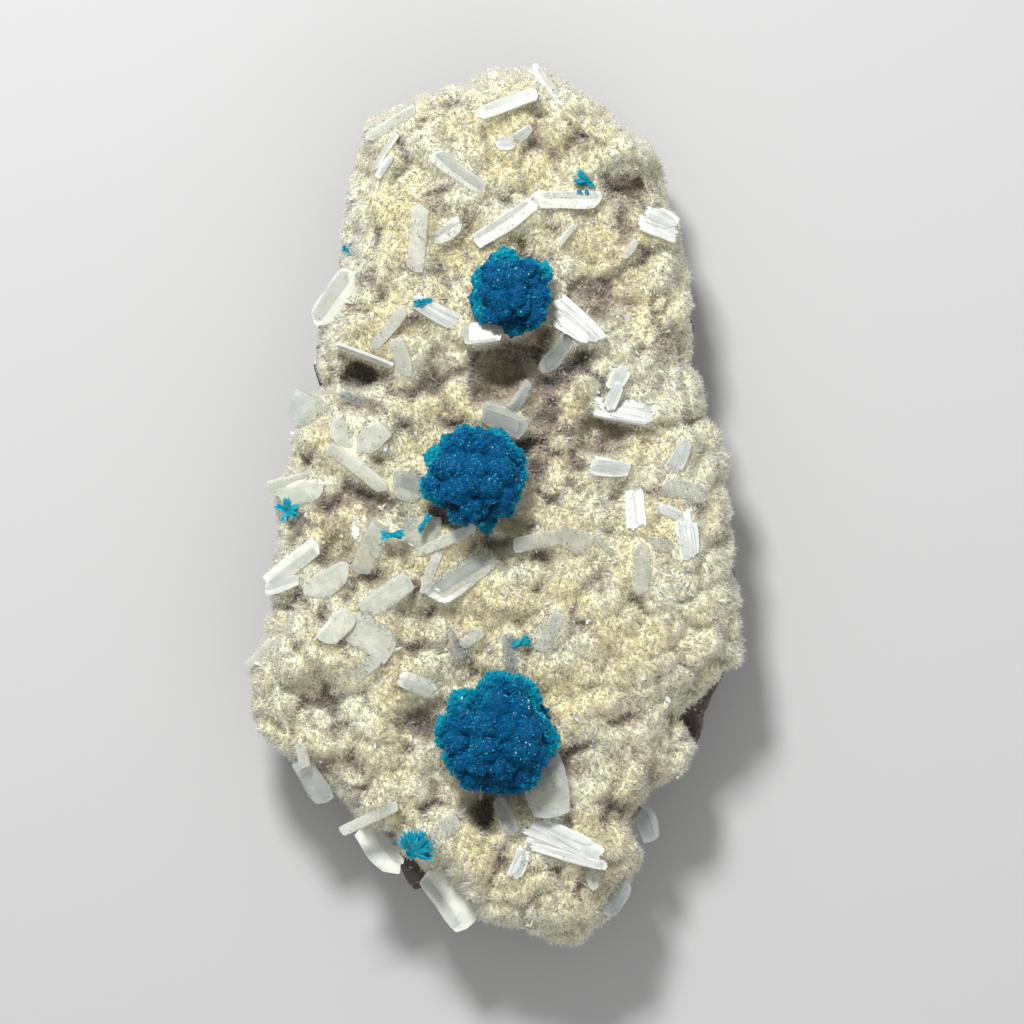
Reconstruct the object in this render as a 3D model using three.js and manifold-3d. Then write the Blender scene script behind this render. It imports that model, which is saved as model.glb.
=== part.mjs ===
// A cavansite specimen: three blue rosettes and small sprays of cavansite, with white stilbite blades,
// on the druse crust of a broken basalt plate.
// Millimetres, +Z up. The plate lies on its flat broken back, crystals upwards, narrow end towards +Y.
import * as THREE from "three";
import { mergeVertices } from "three/addons/utils/BufferGeometryUtils.js";
import Module from "manifold-3d";

const wasm = await Module();
wasm.setup();

// Driving dimensions.
const plateTop = 9.5; // top of the basalt, where the crust begins
const crustThickness = 5.2; // over the middle of the plate, before mounds and hollows
const rimHeight = 1.6; // of the crust at its broken edge
const shoulder = 3.6; // width over which the crust rounds down to its edge
const leastCrust = 1.2; // left over the basalt in the deepest hollow
const seatGap = 0.3; // between a crystal and the pocket it grew in
const pocketHeight = 3; // by which a blade's pocket opens upwards
const nodule = { cell: 4.6, height: 2.0 }; // the rounded lumps of the druse
const drape = { least: 0.3, most: 2.6 }; // how far the crust hangs down over the plate's sides
const backInset = 2.6; // how far the flat back stands in from the plate's edge
const bevel = 0.22; // along the edges of the wider blades
const bevelledFrom = 2.1; // width from which a single blade's edges are bevelled
const steepest = 0.3; // slope of the crust that a blade still follows

// The crust's edge, as [y, x] down each side.
const crustLeft = [
  [43.9, 1.5], [43.3, 0.6], [42.6, -1.5], [42.3, -5.2], [41.5, -6.2], [40.7, -7.2], [40.2, -9.2],
  [39.7, -11.4], [39.0, -12.5], [37.8, -12.9], [36.3, -13.2], [34.8, -13.9], [33.5, -13.7],
  [32.0, -14.6], [30.5, -15.0], [24.3, -15.1], [21.8, -15.6], [19.3, -16.9], [16.8, -17.5],
  [13.1, -17.9], [11.1, -17.5], [9.1, -18.8], [7.3, -20.3], [5.8, -21.1], [3.8, -20.7], [2.1, -21.5],
  [0.3, -22.3], [-1.5, -21.7], [-5.7, -21.3], [-7.3, -22.6], [-8.9, -23.2], [-11.4, -22.2],
  [-12.9, -22.6], [-14.4, -23.6], [-15.9, -24.4], [-17.5, -24.7], [-19.7, -24.3], [-21.9, -23.8],
  [-23.7, -22.9], [-25.2, -21.8], [-26.5, -19.6], [-27.9, -17.2], [-29.4, -15.0], [-31.2, -14.2],
  [-32.9, -13.0], [-34.3, -10.6], [-35.3, -9.2], [-35.9, -6.4], [-37.2, -6.2], [-38.9, -4.6],
  [-40.7, -2.2], [-41.9, -1.0], [-42.7, 0.6], [-43.3, 3.6], [-44.1, 6.2],
];
const crustRight = [
  [43.9, 5.1], [43.3, 6.1], [42.7, 7.7], [41.9, 8.7], [40.8, 9.2], [39.8, 10.1], [38.9, 10.9],
  [38.4, 12.2], [37.8, 14.3], [36.5, 15.6], [34.8, 16.9], [33.3, 17.4], [30.8, 17.6], [29.3, 18.3],
  [26.3, 18.7], [21.3, 19.7], [18.3, 19.9], [16.1, 20.4], [14.3, 19.9], [12.3, 20.3], [10.3, 21.0],
  [7.8, 21.8], [5.8, 22.7], [4.0, 23.7], [1.8, 23.7], [-0.2, 23.4], [-2.2, 23.5], [-4.5, 24.1],
  [-8.7, 24.3], [-10.7, 24.8], [-13.7, 24.9], [-16.2, 24.7], [-17.7, 24.3], [-18.9, 20.8], [-19.9, 18.9],
  [-21.5, 18.0], [-23.2, 19.1], [-24.5, 20.8], [-25.9, 20.1], [-27.2, 19.1], [-28.3, 17.1],
  [-29.0, 15.8], [-30.3, 14.8], [-32.2, 14.3], [-34.2, 14.7], [-35.7, 14.9], [-37.0, 14.3],
  [-38.1, 13.4], [-39.4, 13.2], [-40.9, 12.2], [-42.1, 10.9], [-42.9, 9.4], [-44.1, 8.4],
];
// Where bare basalt shows past the crust, as [y, x].
const bareRight = [
  [-17.6, 23.9], [-18.9, 22.9], [-19.9, 21.6], [-20.8, 20.5], [-21.4, 21.8], [-22.7, 22.5],
  [-24.0, 21.8], [-25.2, 20.8],
];
const bareLeft = [[-34.9, -8.9], [-37.6, -8.7]];

// Broad mounds of the crust, and the hollows between them: [x, y, radius, height].
const mounds = [
  [14.0, 35.0, 4.2, 2.0], [2.6, 39.8, 5.5, 0.9], [-9.2, 25.5, 5.0, 1.2], [-13.2, 18.4, 4.0, 1.5],
  [-18.6, 6.0, 3.0, 1.2], [9.6, 12.2, 2.8, 1.2], [14.5, 16.3, 2.8, 1.2], [7.0, -0.4, 4.4, 1.0],
  [-18.2, -14.8, 5.8, 2.2], [12.6, -10.6, 13.0, 2.0], [6.7, -23.2, 4.0, 1.8], [-0.6, -9.8, 4.6, 2.2],
  [-2.2, -35.4, 6.0, 1.2], [5.4, -38.6, 6.0, 1.0], [-8.6, -10.8, 3.4, 1.4], [-12.0, -21.5, 5.0, 0.9],
  [-12.6, -29.8, 3.2, 1.2], [19.0, 9.0, 4.0, 0.8],
];
const hollows = [
  [2.2, 12.6, 4.6, 4.4], [10.6, 7.4, 3.6, 3.6], [-13.6, 13.1, 3.2, 3.4], [-13.0, -0.4, 2.6, 2.8],
  [14.4, 30.8, 3.4, 3.0], [8.2, 36.2, 2.0, 1.5], [-2.3, 28.3, 2.2, 1.8], [1.6, -3.8, 3.4, 2.6],
  [-7.2, -21.8, 3.0, 2.2], [-1.4, -29.6, 3.4, 2.2], [10.8, -39.6, 3.0, 2.2], [-4.9, -11.0, 2.6, 2.4],
  [9.2, -26.2, 2.4, 1.4], [-16.4, -4.8, 2.6, 1.8], [19.4, 15.8, 2.4, 1.6], [11.2, 20.2, 3.0, 1.8],
  [-18.0, -19.4, 4.2, 1.6], [-15.5, -26.0, 3.0, 1.4],
];

// Stilbite. Each crystal is a list of blades grown together, and a blade is
// [x, y at one end, x, y at the other end, width, height of each end over the crust, roll in degrees].
const stilbites = {
  stilbite_crest: [[3.8, 44.0, 6.5, 40.4, 1.1, 0.9, -0.1, 10]],
  stilbite_top_bar: [[-1.9, 38.7, 4.4, 40.9, 1.4, -0.2, 1.1, -15]],
  stilbite_top_clump: [
    [0.1, 36.2, 2.5, 35.9, 1.2, 0.3, 0.3, 0],
    [1.9, 36.3, 3.9, 37.5, 0.9, 0.2, 0.5, 20],
  ],
  stilbite_upper_left_bar: [[-12.8, 36.4, -7.7, 39.6, 1.1, 0.9, -0.1, 10]],
  stilbite_slim_pair: [
    [-12.0, 33.3, -9.6, 37.0, 0.6, 0.3, 0.3, 0],
    [-11.7, 32.5, -10.2, 34.8, 0.8, 0.2, 0.3, 0],
  ],
  stilbite_upper_grey: [[-6.2, 35.0, -0.7, 31.1, 1.7, 1.2, -0.1, 20]],
  stilbite_upright_bar: [[-7.2, 30.1, -7.9, 23.0, 1.8, 1.0, -0.1, 0]],
  stilbite_short_blade: [[-6.3, 26.0, -3.2, 28.0, 1.6, -0.1, 1.3, 10]],
  stilbite_bent_bar: [
    [-1.9, 25.9, 4.6, 30.3, 1.7, 0.5, 0.6, 0],
    [3.8, 30.3, 10.9, 30.3, 1.8, 0.6, 0.3, 0],
  ],
  stilbite_right_corner: [[14.7, 28.9, 18.9, 26.9, 2.7, 0.2, 0.9, -10]],
  stilbite_left_shoulder: [[-17.8, 17.6, -13.8, 23.3, 2.9, 1.4, 0.1, 15]],
  stilbite_shelf: [[-15.8, 15.8, -10.0, 13.6, 0.9, 0.8, 0.8, 60]],
  stilbite_leaning_bar: [[-12.3, 15.2, -8.6, 19.7, 1.2, 0.0, 1.2, 0]],
  stilbite_curved_blade: [[-9.8, 16.5, -8.5, 12.3, 1.7, 1.2, 0.0, 20]],
  stilbite_speckled: [[-8.0, 20.2, -3.2, 17.6, 1.7, 1.1, 0.1, -15]],
  stilbite_under_rosette: [[-3.2, 16.8, 1.3, 17.2, 2.2, 1.8, 2.6, -20]],
  stilbite_silky_blade: [[6.0, 19.7, 11.0, 15.7, 2.7, 0.6, 1.9, 0]],
  stilbite_grey_blade: [[4.9, 12.9, 7.9, 17.2, 1.8, 0.6, 0.2, 0]],
  stilbite_plate_cluster: [
    [9.9, 9.9, 16.6, 8.4, 2.4, 0.9, 0.7, -25],
    [11.3, 9.0, 12.7, 12.3, 1.1, 1.4, 0.9, 0],
    [11.7, 11.1, 13.3, 13.9, 1.4, 0.8, 0.4, 0],
  ],
  stilbite_glassy_cross: [
    [-1.3, 9.3, 3.3, 7.1, 2.4, 0.8, 0.9, 0],
    [1.3, 8.6, 3.7, 12.2, 1.1, 1.2, 4.0, 0],
  ],
  stilbite_middle_bar: [[9.4, 3.8, 14.1, 3.4, 1.5, 0.0, 1.0, 10]],
  stilbite_right_blade: [[17.7, 3.1, 19.9, 6.7, 1.5, -0.1, 1.3, 0]],
  stilbite_right_plate: [[16.7, 1.8, 21.5, 0.8, 1.9, 0.2, 0.5, 0]],
  stilbite_silky_block: [[13.9, 1.7, 14.3, -3.2, 2.0, -0.1, 0.9, 10]],
  stilbite_right_crescent: [
    [19.1, -1.0, 19.7, -5.9, 1.8, 0.2, 0.2, 0],
    [16.2, -0.2, 19.3, -1.7, 1.1, 0.1, 0.3, 0],
  ],
  stilbite_tee: [[13.5, -3.7, 18.2, -4.4, 1.4, 0.4, 0.1, 0], [14.8, -3.5, 14.7, -9.5, 1.8, 0.5, 0.2, 0]],
  stilbite_centre_bar: [
    [1.9, -4.3, 7.2, -3.2, 1.6, 1.6, 0.6, 0],
    [6.3, -3.0, 9.9, -4.5, 2.2, 0.7, 0.4, 0],
  ],
  stilbite_left_plate: [[-20.6, 10.4, -16.9, 8.2, 3.2, 1.3, 0.2, 10]],
  stilbite_left_trio: [
    [-16.3, 8.1, -13.2, 4.5, 2.3, 0.9, 0.5, -15],
    [-16.6, 5.7, -10.6, 1.2, 1.4, 0.6, 0.7, 20],
    [-13.8, 5.0, -10.6, 7.7, 2.3, 0.6, 0.5, 0],
  ],
  stilbite_grey_plate: [[-10.3, 2.1, -6.6, 1.1, 2.9, 0.4, 0.7, -10]],
  stilbite_left_ledge: [
    [-22.7, 1.5, -18.0, 2.6, 1.4, 0.8, 0.3, 20],
    [-21.6, 0.3, -16.9, 1.6, 2.2, 0.5, 0.2, 0],
  ],
  stilbite_inner_plate: [[-13.5, -7.1, -11.1, -1.9, 2.3, 0.6, 0.4, 15]],
  stilbite_broad_plate: [[-9.2, -3.0, -5.0, -2.6, 2.9, 0.2, 0.5, 0]],
  stilbite_fork: [[-7.8, -5.1, -1.6, -2.3, 1.1, 0.6, 2.0, 0], [-7.1, -9.1, -5.2, -4.2, 1.0, 0.6, 0.8, 0]],
  stilbite_mound_side: [[-6.4, -9.8, -0.2, -5.3, 3.0, 1.6, 0.2, -25]],
  stilbite_left_edge_bar: [
    [-22.8, -8.2, -17.4, -4.0, 1.9, 0.7, 0.5, 0],
    [-23.0, -8.9, -19.4, -7.6, 1.2, 0.4, 0.3, 0],
  ],
  stilbite_pale_blade: [[-19.0, -9.5, -14.2, -6.4, 2.5, 0.0, 0.8, 0]],
  stilbite_rounded_trio: [
    [-14.9, -11.7, -10.0, -14.9, 3.3, 0.9, 0.7, 0],
    [-17.1, -14.1, -14.2, -10.8, 2.3, 0.3, 1.0, 0],
    [-13.2, -11.1, -8.1, -7.5, 2.2, 0.9, 0.6, 10],
  ],
  stilbite_small_oval: [[-9.5, -17.3, -5.6, -19.0, 1.8, 1.1, 0.0, 0]],
  stilbite_left_sliver: [[-24.9, -16.6, -22.1, -13.7, 0.9, 0.3, 0.3, 0]],
  stilbite_lower_left_bar: [[-19.6, -25.6, -16.8, -30.3, 2.2, 0.3, 0.0, 0]],
  stilbite_lower_left_spike: [[-15.4, -33.0, -9.5, -30.2, 1.1, 1.3, 0.5, 0]],
  stilbite_lower_silky: [[-13.2, -32.6, -9.5, -37.5, 2.8, -0.1, 0.0, 0]],
  stilbite_foot_blade: [[-6.8, -36.9, -2.4, -42.9, 3.0, 0.2, 0.2, 0]],
  stilbite_prism_low: [[0.5, -29.4, 2.1, -33.1, 1.6, 0.8, 1.3, 20]],
  stilbite_big_plate: [[4.5, -24.7, 6.0, -31.7, 3.6, 1.0, 2.2, 0]],
  stilbite_bright_blade: [[2.9, -32.1, 11.4, -35.9, 2.9, 0.5, 1.4, 0]],
  stilbite_right_foot: [[15.0, -30.3, 16.0, -34.2, 2.0, 0.0, -0.4, 0]],
  stilbite_lower_right_bar: [[11.3, -41.5, 13.5, -38.0, 1.8, 0.0, 0.8, 0]],
};
// The smallest blades are one with the crust.
const crustBlades = [
  [-8.2, 31.6, -5.3, 32.8, 0.8, -0.15, -0.05, 0], [6.4, 25.7, 8.4, 28.1, 0.6, -0.15, 0.35, 0],
  [13.0, 24.4, 14.4, 26.4, 0.8, -0.15, 0.35, 0], [11.8, 18.3, 12.8, 19.5, 0.8, -0.15, 0.25, 0],
  [22.2, -0.9, 24.0, -0.7, 2.0, -0.05, -0.25, 0], [10.1, -3.1, 12.0, -5.3, 0.6, -0.05, -0.05, 0],
  [-15.6, 11.0, -12.8, 10.1, 1.2, -0.05, -0.05, 0], [-13.7, -0.3, -13.8, -3.8, 0.9, 0, 0.2, 0],
  [-3.3, -14.4, -1.0, -12.7, 1.1, 0.35, -0.15, 0], [-4.6, -10.6, -3.2, -15.7, 1.5, 0.25, -0.05, -30],
  [1.3, -12.9, 2.1, -18.1, 1.3, 0.05, 0.35, 0], [9.5, -35.9, 10.2, -38.8, 1.2, -0.25, 0.25, 0],
  [1.9, -37.7, 3.2, -34.3, 1.3, 0.15, -0.15, 0], [-6.5, -34.2, -3.5, -31.5, 1.8, -0.15, 0.05, 0],
  [-14.2, -17.7, -11.3, -15.2, 1.5, 0.05, 0.15, 0], [4.6, -14.9, 6.7, -10.8, 1.4, -0.05, 0.05, 0],
  [-19.4, -24.0, -18.9, -26.6, 1.2, 0.05, 0.05, 0],
];

// Cavansite rosettes: centre, radius, height of the centre over the crust, and how finely the tips stand.
const rosettes = {
  cavansite_rosette_upper: { x: 1.8, y: 20.9, radius: 4.4, stand: 2.2, detail: 2 },
  cavansite_rosette_middle: { x: -1.8, y: 2.7, radius: 5.4, stand: 2.8, detail: 3 },
  cavansite_rosette_lower: { x: 0.4, y: -23.2, radius: 6.1, stand: 3.2, detail: 3 },
};
const tipDepth = 0.13; // of the notches between the tips, as a share of the radius
const tipScatter = 0.05; // of the tips' heights, as a share of the radius
const buried = -0.45; // height in a rosette, as a share of the radius, below which its faces stay plain
const lobeHeight = 0.05; // of the broad lobes of a rosette, as a share of the radius

// Cavansite sprays: centre, reach, height of the root over the crust, and the heading of each crystal
// in degrees from +X.
const sprays = {
  cavansite_spray_top: { x: 9.2, y: 32.1, reach: 1.3, rise: 0.4, headings: [15, 75, 130, 200, 320] },
  cavansite_spray_left: { x: -20.8, y: -0.6, reach: 1.5, rise: 1.5, headings: [15, 90, 160, 255, 325] },
  cavansite_spray_bowtie: { x: -10.2, y: -3.3, reach: 1.4, rise: 1.7, headings: [-10, 22, 170, 195] },
  cavansite_spray_sheaf: { x: -6.5, y: -1.4, reach: 1.3, rise: 1.4, headings: [42, 65, 235] },
  cavansite_spray_hook: { x: 2.8, y: -14.3, reach: 1.1, rise: 0.5, headings: [10, 60, 175, 200] },
  cavansite_spray_bottom: { x: -7.9, y: -33.9, reach: 2, rise: 0.4, headings: [5, 50, 95, 140, 190, 270, 325] },
};
const sprayWidth = 0.55;
const sprayRise = 24; // degrees that the crystals of a spray lean up

const materials = {
  basalt: new THREE.MeshStandardMaterial({ color: 0x4a4140, roughness: 0.9, metalness: 0 }),
  druse: new THREE.MeshStandardMaterial({ color: 0xd9d2b0, roughness: 0.55, metalness: 0 }),
  stilbite: new THREE.MeshStandardMaterial({ color: 0xdde2da, roughness: 0.3, metalness: 0 }),
  cavansite: new THREE.MeshStandardMaterial({ color: 0x06598c, roughness: 0.35, metalness: 0 }),
  cavansiteSpray: new THREE.MeshStandardMaterial({ color: 0x1a9cb3, roughness: 0.35, metalness: 0 }),
};

// --- Helpers ---

// A repeatable number from 0 to 1 for whole-number cell coordinates.
function hash(i, j, k = 0) {
  const s = Math.sin(i * 127.1 + j * 311.7 + k * 74.7) * 43758.5453;
  return s - Math.floor(s);
}

function lerp(a, b, t) {
  return a + (b - a) * t;
}

// 1 in the middle of a patch, falling smoothly to 0 at its radius.
function bump(distance, radius) {
  const t = Math.min(distance / radius, 1);
  return (1 - t * t) ** 2;
}

// x on an edge given as [y, x] down one side, or undefined past its ends.
function edgeAt(edge, y) {
  const i = edge.findIndex((point) => point[0] <= y);
  if (i < 0 || (i === 0 && edge[0][0] < y)) return undefined;
  if (i === 0) return edge[0][1];
  const [upper, lower] = [edge[i - 1], edge[i]];
  return lerp(upper[1], lower[1], (upper[0] - y) / (upper[0] - lower[0]));
}

const highY = crustLeft[0][0];
const lowY = crustLeft.at(-1)[0];
const outline = [...crustLeft, ...crustRight.toReversed()].map(([y, x]) => new THREE.Vector2(x, y));

// How far a point stands inside the crust's edge, or 0 outside it.
function insideBy(x, y) {
  const left = edgeAt(crustLeft, y);
  if (left === undefined || x <= left || x >= edgeAt(crustRight, y)) return 0;
  const point = new THREE.Vector2(x, y);
  let least = Infinity;
  outline.forEach((a, i) => {
    const b = outline[(i + 1) % outline.length];
    const along = b.clone().sub(a);
    const t = THREE.MathUtils.clamp(point.clone().sub(a).dot(along) / along.lengthSq(), 0, 1);
    least = Math.min(least, a.clone().addScaledVector(along, t).distanceTo(point));
  });
  return least;
}

// Rounded lumps packed side by side, 0 to 1.
function nodules(x, y) {
  const [ci, cj] = [Math.floor(x / nodule.cell), Math.floor(y / nodule.cell)];
  let nearest = Infinity;
  for (let i = ci - 1; i <= ci + 1; i += 1) {
    for (let j = cj - 1; j <= cj + 1; j += 1) {
      const centreX = (i + 0.2 + 0.6 * hash(i, j, 1)) * nodule.cell;
      const centreY = (j + 0.2 + 0.6 * hash(i, j, 2)) * nodule.cell;
      nearest = Math.min(nearest, Math.hypot(x - centreX, y - centreY));
    }
  }
  return Math.max(0, 1 - (nearest / nodule.cell) ** 2);
}

// Height of the crust's surface.
function crustTop(x, y) {
  const inward = Math.min(insideBy(x, y) / shoulder, 1);
  const rounded = Math.sqrt(1 - (1 - inward) ** 2);
  let relief = nodule.height * (nodules(x, y) - 0.5);
  for (const [mx, my, radius, height] of mounds) relief += height * bump(Math.hypot(x - mx, y - my), radius);
  for (const [hx, hy, radius, depth] of hollows) relief -= depth * bump(Math.hypot(x - hx, y - hy), radius);
  const height = rimHeight + (crustThickness - rimHeight + relief) * rounded;
  return plateTop + Math.max(height, leastCrust);
}

// A closed three.js geometry as a solid.
function solidOf(geometry) {
  const bare = geometry.index ? geometry.toNonIndexed() : geometry.clone();
  bare.deleteAttribute("normal");
  bare.deleteAttribute("uv");
  const merged = mergeVertices(bare, 1e-4);
  return new wasm.Manifold(
    new wasm.Mesh({
      numProp: 3,
      vertProperties: merged.attributes.position.array,
      triVerts: new Uint32Array(merged.index.array),
    }),
  );
}

// The largest body of a solid: a cut can leave chips behind.
function largest(solid) {
  return solid.decompose().reduce((a, b) => (b.volume() > a.volume() ? b : a));
}

// A named mesh placed at the middle of its solid's box.
function meshOf(name, solid, material) {
  const { vertProperties, triVerts } = solid.getMesh();
  const geometry = new THREE.BufferGeometry()
    .setAttribute("position", new THREE.BufferAttribute(vertProperties, 3))
    .setIndex(new THREE.BufferAttribute(triVerts, 1));
  geometry.computeBoundingBox();
  const middle = geometry.boundingBox.getCenter(new THREE.Vector3());
  geometry.translate(-middle.x, -middle.y, -middle.z);
  geometry.computeVertexNormals();
  const mesh = new THREE.Mesh(geometry, material);
  mesh.name = name;
  mesh.position.copy(middle);
  return mesh;
}

// A unit block whose surface points are moved by place(u, v, w), each from 0 to 1.
function mappedBlock(columns, rows, levels, place) {
  const block = new THREE.BoxGeometry(1, 1, 1, columns, rows, levels);
  const points = block.attributes.position;
  for (let i = 0; i < points.count; i += 1) {
    const moved = place(points.getX(i) + 0.5, points.getY(i) + 0.5, points.getZ(i) + 0.5);
    points.setXYZ(i, moved.x, moved.y, moved.z);
  }
  return solidOf(block);
}

// --- The basalt plate and its crust ---

function basaltPlate() {
  const place = (u, v, w) => {
    const y = lerp(lowY + 1.2, highY - 1.2, v);
    const bulge = 1.1 * Math.sin(Math.PI * w); // of the broken sides, between top and back
    const rough = w < 1 ? 2.2 * (hash(Math.round(v * 60), Math.round(w * 9), u < 0.5 ? 3 : 4) - 0.5) : 0;
    const left = Math.min(edgeAt(crustLeft, y), edgeAt(bareLeft, y) ?? Infinity);
    const right = Math.max(edgeAt(crustRight, y), edgeAt(bareRight, y) ?? -Infinity);
    const inset = Math.min(lerp(backInset, 0.7, w) - bulge + rough, 0.35 * (right - left));
    const x = lerp(left + inset, right - inset, u);
    const pulledIn = (1 - w) * backInset * (0.5 - v) * 2 * Math.max(0, 1 - 8 * Math.min(v, 1 - v));
    const outside = x < edgeAt(crustLeft, y) + 0.5 || x > edgeAt(crustRight, y) - 0.5;
    const fall = w === 1 && outside ? 1.2 + 0.9 * hash(Math.round(x * 3), Math.round(y * 3), 5) : 0;
    return new THREE.Vector3(x, y + pulledIn, (plateTop + 0.5) * w - fall);
  };
  return mappedBlock(4, 24, 3, place).asOriginal().simplify(0.01);
}

// grow makes it wider and deeper, for the seat it takes in the basalt.
function druseCrust(grow = 0) {
  const place = (u, v, w) => {
    const y = lerp(lowY, highY, v);
    const side = u === 0 || u === 1;
    const rim = side || v === 0 || v === 1;
    const step = hash(Math.round(v * 80), Math.round(u * 30 + w * 4), 6);
    const hang = rim ? lerp(drape.least, drape.most, hash(Math.round(v * 20), Math.round(u * 12), 7)) : 0;
    const inset = side ? 0.5 * (step - 0.5) + 0.4 * (1 - w) - grow : 0;
    const x = lerp(edgeAt(crustLeft, y) + inset, edgeAt(crustRight, y) - inset, u);
    const outward = v === 0 ? -grow : v === 1 ? grow : 0;
    const floor = plateTop - hang - grow * (rim ? 2.2 : 1);
    return new THREE.Vector3(x, y + outward, lerp(floor, crustTop(x, y), w));
  };
  return mappedBlock(17, 31, 1, place).asOriginal().simplify(0.02);
}

// --- Stilbite blades ---

// A tabular blade along +Y with roofed ends. grow makes it larger all round. open makes it a plain box,
// taller by so much, for the pocket it sits in.
function bladeGeometry(length, width, thickness, lean, { grow = 0, open = 0, bevelled = false }) {
  const half = length / 2 + grow;
  const side = width / 2 + grow;
  const roof = Math.min(width * 0.45, length * 0.3);
  const corners = [
    [-side, -half + roof],
    [lean * side, -half],
    [side, -half + roof * 0.8],
    [side, half - roof],
    [-lean * side, half],
    [-side, half - roof * 0.7],
  ];
  const pocketCorners = [[-side, -half + 0.2], [side, -half + 0.2], [side, half - 0.2], [-side, half - 0.2]];
  const plan = new THREE.Shape((open > 0 ? pocketCorners : corners).map(([x, y]) => new THREE.Vector2(x, y)));
  const edge = bevelled ? bevel : 0;
  const blade = new THREE.ExtrudeGeometry(plan, {
    depth: thickness + 2 * grow + open - 2 * edge,
    bevelEnabled: bevelled,
    bevelThickness: edge,
    bevelSize: edge,
    bevelOffset: -edge,
    bevelSegments: 1,
  });
  return blade.translate(0, 0, edge - thickness / 2 - grow);
}

function bladeSolid([x1, y1, x2, y2, width, rise1, rise2, roll], form = {}) {
  const length = Math.hypot(x2 - x1, y2 - y1);
  const [ground1, ground2] = [crustTop(x1, y1), crustTop(x2, y2)];
  const slope = THREE.MathUtils.clamp((ground2 - ground1) / length, -steepest, steepest);
  const level = Math.max((ground1 + ground2) / 2, crustTop((x1 + x2) / 2, (y1 + y2) / 2));
  const a = new THREE.Vector3(x1, y1, level - (slope * length) / 2 + rise1);
  const b = new THREE.Vector3(x2, y2, level + (slope * length) / 2 + rise2);
  const along = b.clone().sub(a);
  const thickness = THREE.MathUtils.clamp(width * 0.5, 0.5, 1.0);
  const lean = 0.7 * (hash(Math.round(x1 * 10), Math.round(y1 * 10), 8) - 0.5);
  const geometry = bladeGeometry(along.length(), width, thickness, lean, form);
  const yAxis = along.normalize();
  const xAxis = yAxis.clone().cross(new THREE.Vector3(0, 0, 1)).normalize();
  const turn = new THREE.Matrix4().makeBasis(xAxis, yAxis, xAxis.clone().cross(yAxis));
  const rolled = new THREE.Matrix4().makeRotationY(THREE.MathUtils.degToRad(roll));
  const middle = a.add(b).multiplyScalar(0.5);
  return solidOf(geometry.applyMatrix4(turn.multiply(rolled).setPosition(middle)));
}

function joined(solids) {
  return solids.reduce((a, b) => a.add(b));
}

// --- Cavansite ---

// Broad lobes over a rosette, from the nearest of a few scattered directions.
function lobes(direction, seed) {
  let nearest = 2;
  for (let i = 0; i < 14; i += 1) {
    const polar = Math.acos(1 - 2 * hash(i, seed, 11));
    const around = 2 * Math.PI * hash(i, seed, 12);
    const lobe = new THREE.Vector3().setFromSphericalCoords(1, polar, around);
    nearest = Math.min(nearest, direction.distanceTo(lobe));
  }
  return 1 - Math.min(nearest, 1) ** 2;
}

// A ball of crystal tips: each corner of a geodesic sphere is a tip, and each face folds in at its middle.
function rosetteSolid({ radius, detail }, seed) {
  const sphere = new THREE.IcosahedronGeometry(1, detail).attributes.position;
  const tipOf = (p) => {
    const step = hash(Math.round(p.x * 50), Math.round(p.y * 50), Math.round(p.z * 50) + seed);
    const relief = lobeHeight * (lobes(p, seed) - 0.4) + tipScatter * (step - 0.5);
    return p.clone().multiplyScalar(radius * (0.95 + relief));
  };
  const points = [];
  for (let i = 0; i < sphere.count; i += 3) {
    const corners = [0, 1, 2].map((k) => new THREE.Vector3().fromBufferAttribute(sphere, i + k).normalize());
    const tips = corners.map(tipOf);
    const fold = tips[0].clone().add(tips[1]).add(tips[2]).divideScalar(3);
    if (fold.z < buried * radius) {
      points.push(...tips);
    } else {
      fold.setLength(fold.length() - tipDepth * radius);
      tips.forEach((tip, k) => points.push(tip, tips[(k + 1) % 3], fold));
    }
  }
  return solidOf(new THREE.BufferGeometry().setFromPoints(points));
}

function rosetteCentre({ x, y, radius, stand }) {
  const ground = crustTop(x, y);
  return new THREE.Vector3(x, y, ground + Math.min(stand, radius));
}

// The round socket that a rosette sits in.
function socketOf(rosette) {
  const facetLoss = 0.965; // a faceted ball's flats stand in from its corners
  const centre = rosetteCentre(rosette);
  const ball = new THREE.IcosahedronGeometry((rosette.radius + seatGap) / facetLoss, 2);
  return solidOf(ball.translate(centre.x, centre.y, centre.z));
}

function spraySolid({ x, y, reach, rise, headings }) {
  const around = headings.map((heading) => {
    const angle = THREE.MathUtils.degToRad(heading);
    return crustTop(x + 0.6 * reach * Math.cos(angle), y + 0.6 * reach * Math.sin(angle));
  });
  const root = new THREE.Vector3(x, y, Math.max(crustTop(x, y), ...around) + rise);
  return joined(
    headings.map((heading, i) => {
      const length = reach * (0.85 + 0.3 * hash(i, Math.round(x * 7), 9));
      const crystal = new THREE.OctahedronGeometry(0.5).scale(length * 1.3, sprayWidth, sprayWidth);
      crystal.translate(length * 0.5, 0, 0);
      crystal.rotateY(-THREE.MathUtils.degToRad(sprayRise * (0.5 + hash(i, 5, Math.round(y * 7)))));
      crystal.rotateZ(THREE.MathUtils.degToRad(heading));
      return solidOf(crystal.translate(root.x, root.y, root.z));
    }),
  );
}

// --- Assembly ---

const specimen = new THREE.Group();
const plateGroup = new THREE.Group();
const stilbiteGroup = new THREE.Group();
const cavansiteGroup = new THREE.Group();
specimen.add(plateGroup, stilbiteGroup, cavansiteGroup);

const sockets = Object.values(rosettes).map(socketOf);
const crustFloor = plateTop - drape.most;
const underCrust = solidOf(new THREE.BoxGeometry(100, 120, crustFloor).translate(0, 0, crustFloor / 2));
let crust = joined([druseCrust(), ...crustBlades.map((blade) => bladeSolid(blade))]).subtract(underCrust);
const crustSeat = joined([
  druseCrust(seatGap),
  ...crustBlades.map((blade) => bladeSolid(blade, { grow: seatGap })),
]);

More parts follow.
